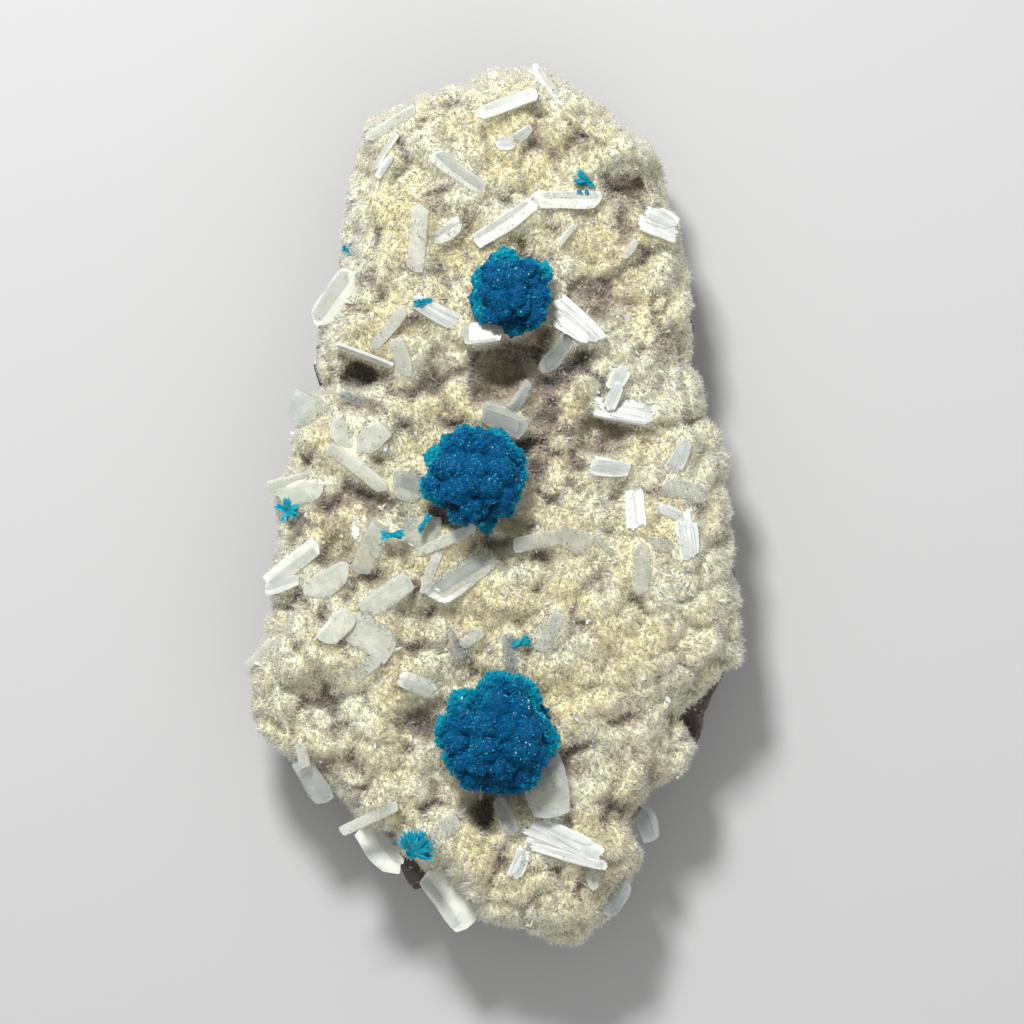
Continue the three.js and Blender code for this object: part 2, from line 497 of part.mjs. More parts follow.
const neighbours = [...sockets];
for (const [name, blades] of Object.entries(stilbites)) {
  const bevelled = blades.length === 1 && blades[0][4] >= bevelledFrom;
  let crystal = joined(blades.map((blade) => bladeSolid(blade, { bevelled })));
  for (const other of neighbours) crystal = crystal.subtract(other);
  stilbiteGroup.add(meshOf(name, largest(crystal), materials.stilbite));
  const pockets = blades.map((blade) => bladeSolid(blade, { grow: seatGap, open: pocketHeight }));
  crust = crust.subtract(joined(pockets));
  neighbours.push(joined(blades.map((blade) => bladeSolid(blade, { grow: seatGap }))));
}
for (const socket of sockets) crust = crust.subtract(socket);
crust = largest(crust.asOriginal().simplify(0.08));
plateGroup.add(meshOf("druse_crust", crust, materials.druse));
const basalt = basaltPlate().subtract(crustSeat);
plateGroup.add(meshOf("basalt_matrix", largest(basalt.asOriginal().simplify(0.05)), materials.basalt));

Object.entries(rosettes).forEach(([name, rosette], i) => {
  const centre = rosetteCentre(rosette);
  const solid = rosetteSolid(rosette, i + 1).translate([centre.x, centre.y, centre.z]);
  cavansiteGroup.add(meshOf(name, solid, materials.cavansite));
});

const ground = joined([crust, ...neighbours]).translate([0, 0, seatGap]);
for (const [name, spray] of Object.entries(sprays)) {
  const solid = largest(spraySolid(spray).subtract(ground));
  cavansiteGroup.add(meshOf(name, solid, materials.cavansiteSpray));
}

export default specimen;
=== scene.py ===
from math import cos, pi, radians, sin

import bmesh
import bpy
import numpy as np
from mathutils import Matrix, Vector, noise
from mathutils.bvhtree import BVHTree


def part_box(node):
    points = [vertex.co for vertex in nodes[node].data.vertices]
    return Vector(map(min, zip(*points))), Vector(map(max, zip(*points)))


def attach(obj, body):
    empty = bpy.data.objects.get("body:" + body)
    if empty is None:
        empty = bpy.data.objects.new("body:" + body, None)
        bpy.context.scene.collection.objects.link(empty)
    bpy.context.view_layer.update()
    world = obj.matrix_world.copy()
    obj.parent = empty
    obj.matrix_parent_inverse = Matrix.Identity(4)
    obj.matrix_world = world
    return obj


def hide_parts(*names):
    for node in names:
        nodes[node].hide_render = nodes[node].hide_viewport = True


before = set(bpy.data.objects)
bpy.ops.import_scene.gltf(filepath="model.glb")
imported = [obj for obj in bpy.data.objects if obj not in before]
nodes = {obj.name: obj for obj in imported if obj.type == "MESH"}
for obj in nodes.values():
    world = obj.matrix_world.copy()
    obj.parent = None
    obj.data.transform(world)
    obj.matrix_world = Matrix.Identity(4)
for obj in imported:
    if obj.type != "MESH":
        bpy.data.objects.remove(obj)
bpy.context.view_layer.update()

mm = 0.001
scene = bpy.context.scene
noise.seed_set(5)  # noise_vector starts from this
rosettes = sorted(n for n in nodes if n.startswith("cavansite_rosette"))
print("frame loaded:", len(nodes), "nodes")


class Value:
    # wraps a node's output, so that plain expressions add Math nodes
    def __init__(self, tree, socket):
        self.tree = tree
        self.socket = socket

    def math(self, operation, first, second):
        return self.tree.add("ShaderNodeMath", {"operation": operation}, {0: first, 1: second})

    def __add__(self, other):
        return self.math("ADD", self, other)

    def __sub__(self, other):
        return self.math("SUBTRACT", self, other)

    def __rsub__(self, other):
        return self.math("SUBTRACT", other, self)

    def __mul__(self, other):
        return self.math("MULTIPLY", self, other)

    __radd__, __rmul__ = __add__, __mul__

    def ramp(self, low, high):
        return self.tree.add("ShaderNodeMapRange", {"interpolation_type": "SMOOTHSTEP"},
                             {"Value": self, "From Min": low, "From Max": high})


class Tree:
    # one method adds any node: its settings are set first, then the values or links of its sockets
    def __init__(self, nodeTree):
        self.tree = nodeTree

    def add(self, kind, settings=None, inputs=None, output=0):
        node = self.tree.nodes.new(kind)
        for name, value in (settings or {}).items():
            setattr(node, name, value)
        for name, value in (inputs or {}).items():
            self.feed(self.find(node.inputs, name), value)
        return Value(self, self.find(node.outputs, output))

    def find(self, sockets, name):
        if isinstance(name, int):
            return [s for s in sockets if s.enabled][name]
        return next(s for s in sockets if s.name == name and s.enabled)

    def feed(self, socket, value):
        if isinstance(value, Value):
            self.tree.links.new(value.socket, socket)
        else:
            socket.default_value = value


class Finish(Tree):
    # a material with one Principled shader
    def __init__(self, name, **constants):
        self.material = bpy.data.materials.new(name)
        self.material.use_nodes = True
        super().__init__(self.material.node_tree)
        self.shader = next(n for n in self.tree.nodes if n.type == "BSDF_PRINCIPLED")
        for key, value in constants.items():
            self.shader.inputs[key.replace("_", " ")].default_value = value
        self.place = self.add("ShaderNodeTexCoord", output="Object")

    def noise(self, size, detail=3.0, roughness=0.55, offset=0.0):
        # size is the width of one patch, in metres
        start = self.moved(offset) if offset else self.place
        return self.add("ShaderNodeTexNoise", {"noise_dimensions": "3D"},
                        {"Vector": start, "Scale": 1 / size, "Detail": detail, "Roughness": roughness})

    def cells(self, size, offset=0.0):
        start = self.moved(offset) if offset else self.place
        return self.add("ShaderNodeTexVoronoi", {}, {"Vector": start, "Scale": 1 / size}, "Distance")

    def moved(self, offset):
        return self.add("ShaderNodeVectorMath", {"operation": "ADD"}, {0: self.place, 1: (offset,) * 3})

    def attribute(self, name):
        return self.add("ShaderNodeAttribute", {"attribute_name": name}, output="Fac")

    def mix(self, factor, first, second):
        ends = [(*c, 1) if isinstance(c, tuple) else c for c in (first, second)]
        return self.add("ShaderNodeMix", {"data_type": "RGBA"},
                        {"Factor": factor, "A": ends[0], "B": ends[1]}, "Result")

    def set(self, **varying):
        for key, value in varying.items():
            self.feed(self.shader.inputs[key.replace("_", " ")], value)

    def bump(self, height, distance, strength=1.0):
        inputs = {"Height": height, "Distance": distance, "Strength": strength}
        self.set(Normal=self.add("ShaderNodeBump", {}, inputs))


def srgb(*parts):
    # a colour as it shows on screen, 0 to 255, as the linear values that shaders take
    return tuple(((p / 255 + 0.055) / 1.055) ** 2.4 for p in parts)


# In the finishes the mm are the sizes of patches, and the ramps say where in a pattern one colour
# turns into the next.
def basaltFinish():
    skin = Finish("broken basalt", Roughness=0.85, IOR=1.5)
    clouds = skin.noise(5 * mm, detail=5)
    grain = skin.noise(0.35 * mm, detail=2)
    specks = skin.cells(0.9 * mm).ramp(0.2, 0.1)
    stone = skin.mix(clouds.ramp(0.35, 0.65), srgb(58, 43, 42), srgb(104, 94, 90))
    gritty = skin.mix(grain.ramp(0.5, 0.75), stone, srgb(42, 34, 35))
    skin.set(Base_Color=skin.mix(specks * 0.7, gritty, srgb(196, 190, 176)))
    skin.bump(grain + clouds * 2, 0.12 * mm, 0.8)
    return skin


def bedFinish():
    bed = Finish("druse between the crystals", Roughness=0.55, IOR=1.4, Subsurface_Weight=0.6,
                 Subsurface_Scale=1.2 * mm, Subsurface_Radius=(1.0, 0.95, 0.8))
    hollow = bed.attribute("hollow")
    warm = bed.noise(8 * mm, detail=2)
    grit = bed.noise(0.2 * mm, detail=2)
    cream = bed.mix(warm.ramp(0.38, 0.62), srgb(229, 226, 200), srgb(228, 219, 176))
    # paler cream at the rim and on the paler places: painted light
    cream = bed.mix(bed.attribute("fringe") * 0.8, cream, srgb(240, 236, 208))
    cream = bed.mix(grit.ramp(0.55, 0.3) * 0.3, cream, srgb(190, 176, 142))
    # In the hollows and pits the bed turns brown-grey, then dark: brown grit and painted shade.
    dull = bed.mix(grit.ramp(0.35, 0.65), srgb(140, 124, 104), srgb(196, 184, 160))
    sunk = bed.mix(hollow.ramp(0.1, 0.6), cream, dull)
    bed.set(Base_Color=bed.mix(hollow.ramp(0.55, 1.0), sunk, srgb(100, 88, 76)))
    bed.bump(grit + bed.noise(0.45 * mm), 0.07 * mm)
    return bed


def druseFinish(name, puff, warm, bright):
    # tone is one number for each crystal. The darker colour between the lumps and down in the pits is
    # brown grit and painted shade; the paler cream at the rim and on the paler places is painted light.
    druse = Finish(name, IOR=1.42, Transmission_Weight=0.15, Subsurface_Weight=1.0,
                   Subsurface_Scale=0.8 * mm, Subsurface_Radius=(1.0, 0.95, 0.8))
    hollow = druse.attribute("hollow")
    tone = druse.attribute("tone")
    patches = druse.noise(8 * mm, detail=2).ramp(0.38, 0.62)
    cream = druse.mix(patches, puff, warm)
    # paler cream at the rim and on the paler places: painted light
    cream = druse.mix(druse.attribute("fringe") * 0.8, cream, srgb(241, 238, 212))
    cream = druse.mix(tone.ramp(0.75, 0.95), cream, bright)
    cream = druse.mix(tone.ramp(0.3, 0.0) * 0.25, cream, srgb(200, 188, 152))
    # dull and deep colour the hollows and pits: brown grit and painted shade
    dull = druse.mix(tone, srgb(158, 142, 120), srgb(218, 210, 190))
    deep = druse.mix(tone, srgb(104, 92, 80), srgb(208, 200, 186))
    hollowed = druse.mix(hollow.ramp(0.1, 0.6), cream, dull)
    druse.set(Base_Color=druse.mix(hollow.ramp(0.55, 1.0), hollowed, deep),
              Roughness=0.5 - tone.ramp(0.86, 1.0) * 0.42)
    return druse


lineWidth, lineLength = 0.16 * mm, 4 * mm  # of the fine lines along a blade


def stilbiteFinish(name, body, veil, silk, roughness, transmission):
    # veil is the cloudy part, silk the brightness of the fine lines along the blade
    glassy = Finish(name, IOR=1.45, Transmission_Weight=transmission, Subsurface_Weight=0.4,
                    Subsurface_Scale=0.9 * mm, Subsurface_Radius=(0.9, 0.95, 1.0))
    along = glassy.add("ShaderNodeUVMap", {"uv_map": "along"})
    stretched = glassy.add("ShaderNodeMapping", {},
                           {"Vector": along, "Scale": (1 / lineWidth, 1 / lineLength, 1)})
    lines = glassy.add("ShaderNodeTexNoise", {"noise_dimensions": "2D"},
                       {"Vector": stretched, "Scale": 1.0, "Detail": 3.0, "Roughness": 0.6})
    cloud = glassy.noise(1.6 * mm, detail=4)
    patches = glassy.noise(2.2 * mm, offset=0.2).ramp(0.5, 0.62)
    specks = glassy.cells(0.85 * mm, offset=0.4).ramp(0.14, 0.07) * patches
    base = glassy.mix(cloud.ramp(0.35, 0.7), body, veil)
    base = glassy.mix(lines.ramp(0.5, 0.25) * 0.1, base, srgb(176, 180, 172))
    base = glassy.mix(lines.ramp(0.48, 0.75) * silk, base, srgb(246, 248, 244))
    # a painted highlight along each blade's edges
    base = glassy.mix(glassy.attribute("edge").ramp(0.5, 1.0) * 0.45, base, srgb(250, 252, 250))
    base = glassy.mix(specks * 0.8, base, srgb(84, 74, 60))
    if silk > 0.5:
        glassy.set(Base_Color=base, Roughness=lines * 0.2 + roughness)
        glassy.bump(lines, 0.012 * mm, 0.4)
    else:
        glassy.set(Base_Color=base, Roughness=cloud * 0.14 + roughness)  # lines here show as dark dashes
    return glassy


def cavansiteFinish(name, heart, edge, pale, gloss=0.1, paintedSparkleShare=0.4):
    # rim is high at the thin edges of a rosette, where a lighter teal paints the light that comes through; a
    # darker blue between its lobes and on the side towards the foot is painted shade
    blue = Finish(name, IOR=1.45, Transmission_Weight=0.06, Specular_IOR_Level=gloss,
                  Subsurface_Weight=0.45, Subsurface_Scale=0.6 * mm, Subsurface_Radius=(0.1, 0.6, 1.0))
    rim = blue.attribute("rim")
    tone = blue.attribute("tone")
    base = blue.mix(rim, heart, edge)
    base = blue.mix(tone.ramp(0.5, 0.0) * 0.15, base, srgb(0, 46, 84))
    # a darker blue in the creases and towards the foot: painted shade
    dark = blue.mix(blue.attribute("hollow").ramp(0.1, 0.9) * 0.75, base, srgb(0, 40, 74))
    # the palest crystals by tone paint sparkle
    blue.set(Base_Color=blue.mix(tone.ramp(0.88, 1.0) * paintedSparkleShare, dark, pale),
             Roughness=0.5 - tone.ramp(0.3, 1.0) * 0.32)
    return blue


finishes = {"basalt": basaltFinish(), "bed": bedFinish()}
for key, name, *colours in [  # main colour, warmer patches, brightest crystals
    ("druse", "druse crystals", (231, 229, 205), (229, 222, 182), (246, 245, 236)),
    # the laths are white crystals; the sparks that share their finish paint glints
    ("lath", "bright druse laths", (246, 246, 240), (242, 241, 228), (255, 255, 255)),
]:
    finishes[key] = druseFinish(name, *(srgb(*c) for c in colours))
for key, body, veil, *others in [  # the others are silk, roughness and transmission
    ("white", (216, 220, 208), (236, 239, 229), 0.45, 0.22, 0.2),
    ("milky", (208, 212, 200), (230, 233, 223), 0.3, 0.2, 0.45),
    ("silky", (208, 213, 207), (230, 234, 229), 0.9, 0.18, 0.15),
    ("grey", (208, 213, 208), (232, 236, 232), 0.25, 0.2, 0.7),
    ("clear", (212, 219, 220), (236, 242, 243), 0.4, 0.1, 0.78),
]:
    finishes[key] = stilbiteFinish(key + " stilbite", srgb(*body), srgb(*veil), *others)
for key, name, heart, edge, pale, *others in [  # the others are gloss and the share of pale crystals, which paint sparkle
    ("rosette", "cavansite rosette", (0, 78, 124), (0, 138, 164), (20, 165, 196), 0.08),
    # the glint tips are coloured pale cyan and white: painted glints
    ("glint", "bright cavansite tips", (70, 180, 206), (110, 210, 224), (244, 254, 255), 0.6, 0.95),
    ("spray", "cavansite spray", (0, 134, 168), (10, 158, 182), (70, 200, 214), 0.3),
]:
    finishes[key] = cavansiteFinish(name, srgb(*heart), srgb(*edge), srgb(*pale), *others)
print("finishes made:", len(finishes))


def meshOf(points, faces, name):
    mesh = bpy.data.meshes.new(name)
    mesh.from_pydata([tuple(p) for p in points], [], [tuple(f) for f in faces])
    mesh.update()
    return mesh


def meshFrom(work, name):
    mesh = bpy.data.meshes.new(name)
    work.to_mesh(mesh)
    work.free()
    return mesh


def mergedMesh(name):
    # a CAD node's mesh is loose triangles, so its copy is merged
    work = bmesh.new()
    work.from_mesh(nodes[name].data)
    bmesh.ops.remove_doubles(work, verts=work.verts, dist=1e-6)
    return meshFrom(work, name + " merged")


def joinMeshes(meshes, name):
    work = bmesh.new()
    for mesh in meshes:
        work.from_mesh(mesh)
    return meshFrom(work, name)


def objectOf(mesh, collection=None):
    thing = bpy.data.objects.new(mesh.name, mesh)
    (collection or scene.collection).objects.link(thing)
    return thing


def plainMesh(thing):
    # the evaluated result as a plain mesh; the object that carried the modifiers goes
    depsgraph = bpy.context.evaluated_depsgraph_get()
    depsgraph.update()
    ready = thing.evaluated_get(depsgraph)
    mesh = bpy.data.meshes.new_from_object(ready, preserve_all_data_layers=True, depsgraph=depsgraph)
    bpy.data.objects.remove(thing)
    return mesh


def finishPiece(name, mesh, finish, replaced=()):
    piece = objectOf(mesh)
    piece.name = mesh.name = name
    looks = [finish] if isinstance(finish, str) else finish
    chosen = np.zeros(len(mesh.polygons), np.int32)
    mesh.polygons.foreach_get("material_index", chosen)
    mesh.materials.clear()  # this also sets every face to the first material
    for look in looks:
        mesh.materials.append(finishes[look].material)
    mesh.polygons.foreach_set("material_index", np.minimum(chosen, len(looks) - 1))
    if replaced:
        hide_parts(*replaced)
    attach(piece, "root")


def setValues(layer, values):
    layer.data.foreach_set("value", np.asarray(values, np.float32))


def setAttribute(mesh, name, values):
    setValues(mesh.attributes.new(name, "FLOAT", "POINT"), values)


def pointArrays(mesh):
    places = np.zeros(len(mesh.vertices) * 3, np.float32)
    normals = np.zeros(len(mesh.vertices) * 3, np.float32)
    mesh.vertices.foreach_get("co", places)
    mesh.vertex_normals.foreach_get("vector", normals)
    return places.reshape(-1, 3).astype(float), normals.reshape(-1, 3).astype(float)


def movePoints(mesh, places):
    mesh.vertices.foreach_set("co", np.asarray(places, np.float32).ravel())
    mesh.update()


def inOrder(mesh):
    # points and faces sorted by place, because a remesh leaves them in no fixed order
    step = 0.0001 * mm
    places = np.round(pointArrays(mesh)[0] / step)
    order = np.lexsort(places.T)
    rank = np.empty(len(order), int)
    rank[order] = np.arange(len(order))
    faces = []
    for face in mesh.polygons:
        corners = [int(rank[i]) for i in face.vertices]
        first = corners.index(min(corners))
        faces.append(corners[first:] + corners[:first])
    return meshOf(places[order] * step, sorted(faces), mesh.name)


def remeshed(mesh, voxel, rounds):
    # one smooth skin round closed shapes that may cross
    thing = objectOf(mesh)
    remesh = thing.modifiers.new("voxels", "REMESH")
    remesh.mode = "VOXEL"
    remesh.voxel_size = voxel
    thing = objectOf(inOrder(plainMesh(thing)))
    smooth = thing.modifiers.new("smooth", "SMOOTH")
    smooth.factor = 0.5
    smooth.iterations = rounds
    return plainMesh(thing)


def lumps(place, width, seed=0.0):
    # round domes packed side by side, 0 to 1
    distance = noise.voronoi(Vector(place) / width + Vector((seed, seed, seed)))[0][0]
    return max(0.0, 1 - (distance / 0.85) ** 2) ** 0.5


def rough(place, width, seed=0.0):
    return noise.noise(Vector(place) / width + Vector((seed, seed, seed)))


def smoothStep(values, low, high):
    t = np.clip((values - low) / (high - low), 0, 1)
    return t * t * (3 - 2 * t)


def surfaceOf(names):
    # several CAD nodes as one surface for casting rays
    points, faces = [], []
    for name in names:
        start = len(points)
        points += [v.co.copy() for v in nodes[name].data.vertices]
        faces += [[start + i for i in face.vertices] for face in nodes[name].data.polygons]
    return BVHTree.FromPolygons(points, faces)


down = Vector((0, 0, -1))
up = Vector((0, 0, 1))
above, below = 0.1, -0.01  # heights in metres, clear of the specimen, from which rays start

# Points and faces of crystals one unit wide and thick, and about one long.
shapes = {}
spike = [(2, 1, 0), (0, 1, 3), (1, 2, 3), (2, 0, 3)]
crystalShapes = {
    "shard": ([(-.5, -.35, -.1), (.5, -.25, -.1), (.05, .5, -.1), (.15, -.05, .95)], spike),
    "splinter": ([(-.5, -.2, 0), (.4, -.3, -.1), (.2, .45, -.05), (-.3, .2, 1.0)], spike),
    "chisel": ([(-.5, -.5, -.15), (.5, -.5, -.15), (.5, .5, -.15), (-.5, .5, -.15), (-.36, 0, .8),
                (.3, 0, .9)],
               [(3, 2, 1, 0), (0, 1, 5, 4), (2, 3, 4, 5), (1, 2, 5), (3, 0, 4)]),
    "needle": ([(-.25, -.15, -.1), (.25, -.12, -.1), (.02, .28, -.1), (.1, -.02, 1.2)], spike),
    "bristle": ([(-.2, -.14, -.1), (.18, -.2, -.1), (.08, .25, -.1), (-.12, .05, 1.35)], spike),
    "prism": ([(-.5, -.5, -.2), (.5, -.5, -.2), (.5, .5, -.2), (-.5, .5, -.2),
               (-.5, -.5, .62), (.5, -.5, .7), (.5, .5, .66), (-.5, .5, .58), (.06, .04, .95)],
              [(3, 2, 1, 0), (0, 1, 5, 4), (1, 2, 6, 5), (2, 3, 7, 6), (3, 0, 4, 7),
               (4, 5, 8), (5, 6, 8), (6, 7, 8), (7, 4, 8)]),
}
for habit, members in {"grains": ("chisel", "shard", "splinter", "needle", "bristle"),
                       "prisms": ("prism", "chisel")}.items():
    shapes[habit] = bpy.data.collections.new(habit)
    for member in members:
        objectOf(meshOf(*crystalShapes[member], member), shapes[habit])


def growthTree():
    # crystals standing on a surface where its attribute grow says so, inside a band of Y
    tree = bpy.data.node_groups.new("grow crystals", "GeometryNodeTree")
    sides = {"Surface": "Geometry", "Shapes": "Collection", "Density": "Float", "Low Y": "Float",
             "High Y": "Float", "Smallest": "Vector", "Largest": "Vector", "Lean": "Float", "Seed": "Int",
             "Finish": "Material"}
    for name, kind in sides.items():
        tree.interface.new_socket(name=name, in_out="INPUT", socket_type="NodeSocket" + kind)
    tree.interface.new_socket(name="Crystals", in_out="OUTPUT", socket_type="NodeSocketGeometry")
    work = Tree(tree)
    source = tree.nodes.new("NodeGroupInput")
    given = {name: Value(work, source.outputs[name]) for name in sides}

    where = work.add("GeometryNodeInputPosition")
    along = work.add("ShaderNodeSeparateXYZ", {}, {0: where}, "Y")
    after = work.add("FunctionNodeCompare", {"operation": "GREATER_EQUAL"}, {"A": along, "B": given["Low Y"]})
    before = work.add("FunctionNodeCompare", {"operation": "LESS_THAN"}, {"A": along, "B": given["High Y"]})
    inBand = work.add("FunctionNodeBooleanMath", {"operation": "AND"}, {0: after, 1: before})
    grow = work.add("GeometryNodeInputNamedAttribute", {"data_type": "FLOAT"}, {"Name": "grow"})
    points = work.add("GeometryNodeDistributePointsOnFaces", {"distribute_method": "RANDOM"},
                      {"Mesh": given["Surface"], "Selection": inBand, "Density": grow * given["Density"],
                       "Seed": given["Seed"]})
    outward = Value(work, points.socket.node.outputs["Rotation"])
    leanBack = work.add("ShaderNodeCombineXYZ", {}, {"X": given["Lean"] * -1, "Y": given["Lean"] * -1})
    leanOut = work.add("ShaderNodeCombineXYZ", {}, {"X": given["Lean"], "Y": given["Lean"], "Z": 2 * pi})
    lean = work.add("FunctionNodeRandomValue", {"data_type": "FLOAT_VECTOR"},
                    {"Min": leanBack, "Max": leanOut, "Seed": given["Seed"] + 1})
    turn = work.add("FunctionNodeEulerToRotation", {}, {0: lean})
    turned = work.add("FunctionNodeRotateRotation", {"rotation_space": "LOCAL"}, {0: outward, 1: turn})
    size = work.add("FunctionNodeRandomValue", {"data_type": "FLOAT_VECTOR"},
                    {"Min": given["Smallest"], "Max": given["Largest"], "Seed": given["Seed"] + 2})
    shape = work.add("GeometryNodeCollectionInfo", {},
                     {"Collection": given["Shapes"], "Separate Children": True, "Reset Children": True})
    crystals = work.add("GeometryNodeInstanceOnPoints", {},
                        {"Points": points, "Instance": shape, "Pick Instance": True, "Rotation": turned,
                         "Scale": size})
    tone = work.add("FunctionNodeRandomValue", {"data_type": "FLOAT"}, {"Seed": given["Seed"] + 3})
    toned = work.add("GeometryNodeStoreNamedAttribute", {"data_type": "FLOAT", "domain": "INSTANCE"},
                     {"Geometry": crystals, "Name": "tone", "Value": tone})
    real = work.add("GeometryNodeRealizeInstances", {}, {0: toned})
    done = work.add("GeometryNodeSetMaterial", {}, {"Geometry": real, "Material": given["Finish"]})
    end = tree.nodes.new("NodeGroupOutput")
    tree.links.new(done.socket, end.inputs[0])
    return tree


growth = growthTree()


def growOn(surface, settings, seed=0, band=(-1.0, 1.0)):
    # the crystals that grow on a mesh, as a plain mesh; seed is added to the settings' own
    carrier = objectOf(surface.copy())
    modifier = carrier.modifiers.new("growth", "NODES")
    modifier.node_group = growth
    values = {"Shapes": shapes[settings["habit"]], "Density": settings["perSquareMm"] * 1e6,
              "Low Y": band[0], "High Y": band[1], "Smallest": [s * mm for s in settings["smallest"]],
              "Largest": [s * mm for s in settings["largest"]], "Lean": radians(settings["lean"]),
              "Seed": settings["seed"] + seed, "Finish": finishes[settings["finish"]].material}
    for item in growth.interface.items_tree:
        if item.in_out == "INPUT" and item.name in values:
            modifier[item.identifier] = values[item.name]
    return plainMesh(carrier)


# The stilbite crystals, without the stilbite_ of their names. Each is a list of blades grown together.
# A blade is x, y of one end, x, y of the other end and the width, in millimetres.
stilbiteBlades = {
    "crest": ("white", [(3.8, 44.0, 6.5, 40.4, 1.1)]),
    "top_bar": ("white", [(-1.9, 38.7, 4.4, 40.9, 1.4)]),
    "top_clump": ("silky", [(0.1, 36.2, 2.5, 35.9, 1.2), (1.9, 36.3, 3.9, 37.5, 0.9)]),
    "upper_left_bar": ("milky", [(-12.8, 36.4, -7.7, 39.6, 1.1)]),
    "slim_pair": ("white", [(-12.0, 33.3, -9.6, 37.0, 0.6), (-11.7, 32.5, -10.2, 34.8, 0.8)]),
    "upper_grey": ("white", [(-6.2, 35.0, -0.7, 31.1, 1.7)]),
    "upright_bar": ("milky", [(-7.2, 30.1, -7.9, 23.0, 1.8)]),
    "short_blade": ("white", [(-6.3, 26.0, -3.2, 28.0, 1.6)]),
    "bent_bar": ("white", [(-1.9, 25.9, 4.6, 30.3, 1.7), (3.8, 30.3, 10.9, 30.3, 1.8)]),
    "right_corner": ("silky", [(14.7, 28.9, 18.9, 26.9, 2.7)]),
    "left_shoulder": ("white", [(-17.8, 17.6, -13.8, 23.3, 2.9)]),
    "shelf": ("white", [(-15.8, 15.8, -10.0, 13.6, 0.9)]),
    "leaning_bar": ("milky", [(-12.3, 15.2, -8.6, 19.7, 1.2)]),
    "curved_blade": ("milky", [(-9.8, 16.5, -8.5, 12.3, 1.7)]),
    "speckled": ("silky", [(-8.0, 20.2, -3.2, 17.6, 1.7)]),
    "under_rosette": ("grey", [(-3.2, 16.8, 1.3, 17.2, 2.4)]),
    "silky_blade": ("silky", [(6.0, 19.7, 11.0, 15.7, 2.7)]),
    "grey_blade": ("clear", [(4.9, 12.9, 7.9, 17.2, 1.8)]),
    "plate_cluster": ("silky", [(9.9, 9.9, 16.6, 8.4, 2.4), (11.3, 9.0, 12.7, 12.3, 1.1),
                                (11.7, 11.1, 13.3, 13.9, 1.4)]),
    "glassy_cross": ("clear", [(-1.3, 9.3, 3.3, 7.1, 2.4), (1.3, 8.6, 3.7, 12.2, 1.1)]),
    "middle_bar": ("silky", [(9.4, 3.8, 14.1, 3.4, 1.5)]),
    "right_blade": ("silky", [(17.7, 3.1, 19.9, 6.7, 1.5)]),
    "right_plate": ("grey", [(16.7, 1.8, 21.5, 0.8, 1.9)]),
    "silky_block": ("silky", [(13.9, 1.7, 14.3, -3.2, 2.0)]),
    "right_crescent": ("silky", [(19.1, -1.0, 19.7, -5.9, 1.8), (16.2, -0.2, 19.3, -1.7, 1.1)]),
    "tee": ("grey", [(13.5, -3.7, 18.2, -4.4, 1.4), (14.8, -3.5, 14.7, -9.5, 1.8)]),
    "centre_bar": ("grey", [(1.9, -4.3, 7.2, -3.2, 1.6), (6.3, -3.0, 9.9, -4.5, 2.2)]),
    "left_plate": ("grey", [(-20.6, 10.4, -16.9, 8.2, 3.2)]),
    "left_trio": ("milky", [(-16.3, 8.1, -13.2, 4.5, 2.3), (-16.6, 5.7, -10.6, 1.2, 1.4),
                            (-13.8, 5.0, -10.6, 7.7, 2.3)]),
    "grey_plate": ("clear", [(-10.3, 2.1, -6.6, 1.1, 2.9)]),
    "left_ledge": ("milky", [(-22.7, 1.5, -18.0, 2.6, 1.4), (-21.6, 0.3, -16.9, 1.6, 2.2)]),
    "inner_plate": ("grey", [(-13.5, -7.1, -11.1, -1.9, 2.3)]),
    "broad_plate": ("grey", [(-9.2, -3.0, -5.0, -2.6, 2.9)]),
    "fork": ("milky", [(-7.8, -5.1, -1.6, -2.3, 1.1), (-7.1, -9.1, -5.2, -4.2, 1.0)]),
    "mound_side": ("clear", [(-6.4, -9.8, -0.2, -5.3, 3.0)]),
    "left_edge_bar": ("white", [(-22.8, -8.2, -17.4, -4.0, 1.9), (-23.0, -8.9, -19.4, -7.6, 1.2)]),
    "pale_blade": ("milky", [(-19.0, -9.5, -14.2, -6.4, 2.5)]),
    "rounded_trio": ("milky", [(-14.9, -11.7, -10.0, -14.9, 3.3), (-17.1, -14.1, -14.2, -10.8, 2.3),
                               (-13.2, -11.1, -8.1, -7.5, 2.2)]),
    "small_oval": ("white", [(-9.5, -17.3, -5.6, -19.0, 1.8)]),
    "left_sliver": ("milky", [(-24.9, -16.6, -22.1, -13.7, 0.9)]),
    "lower_left_bar": ("grey", [(-19.6, -25.6, -16.8, -30.3, 2.2)]),
    "lower_left_spike": ("milky", [(-15.4, -33.0, -9.5, -30.2, 1.1)]),
    "lower_silky": ("white", [(-13.2, -32.6, -9.5, -37.5, 2.8)]),
    "foot_blade": ("white", [(-6.8, -36.9, -2.4, -42.9, 3.0)]),
    "prism_low": ("clear", [(0.5, -29.4, 2.1, -33.1, 1.6)]),
    "big_plate": ("grey", [(4.5, -24.7, 6.0, -31.7, 4.2)]),
    "bright_blade": ("silky", [(2.9, -32.1, 11.4, -35.9, 2.9)]),
    "right_foot": ("clear", [(15.0, -30.3, 16.0, -34.2, 2.0)]),
    "lower_right_bar": ("clear", [(11.3, -41.5, 13.5, -38.0, 1.8)]),
}
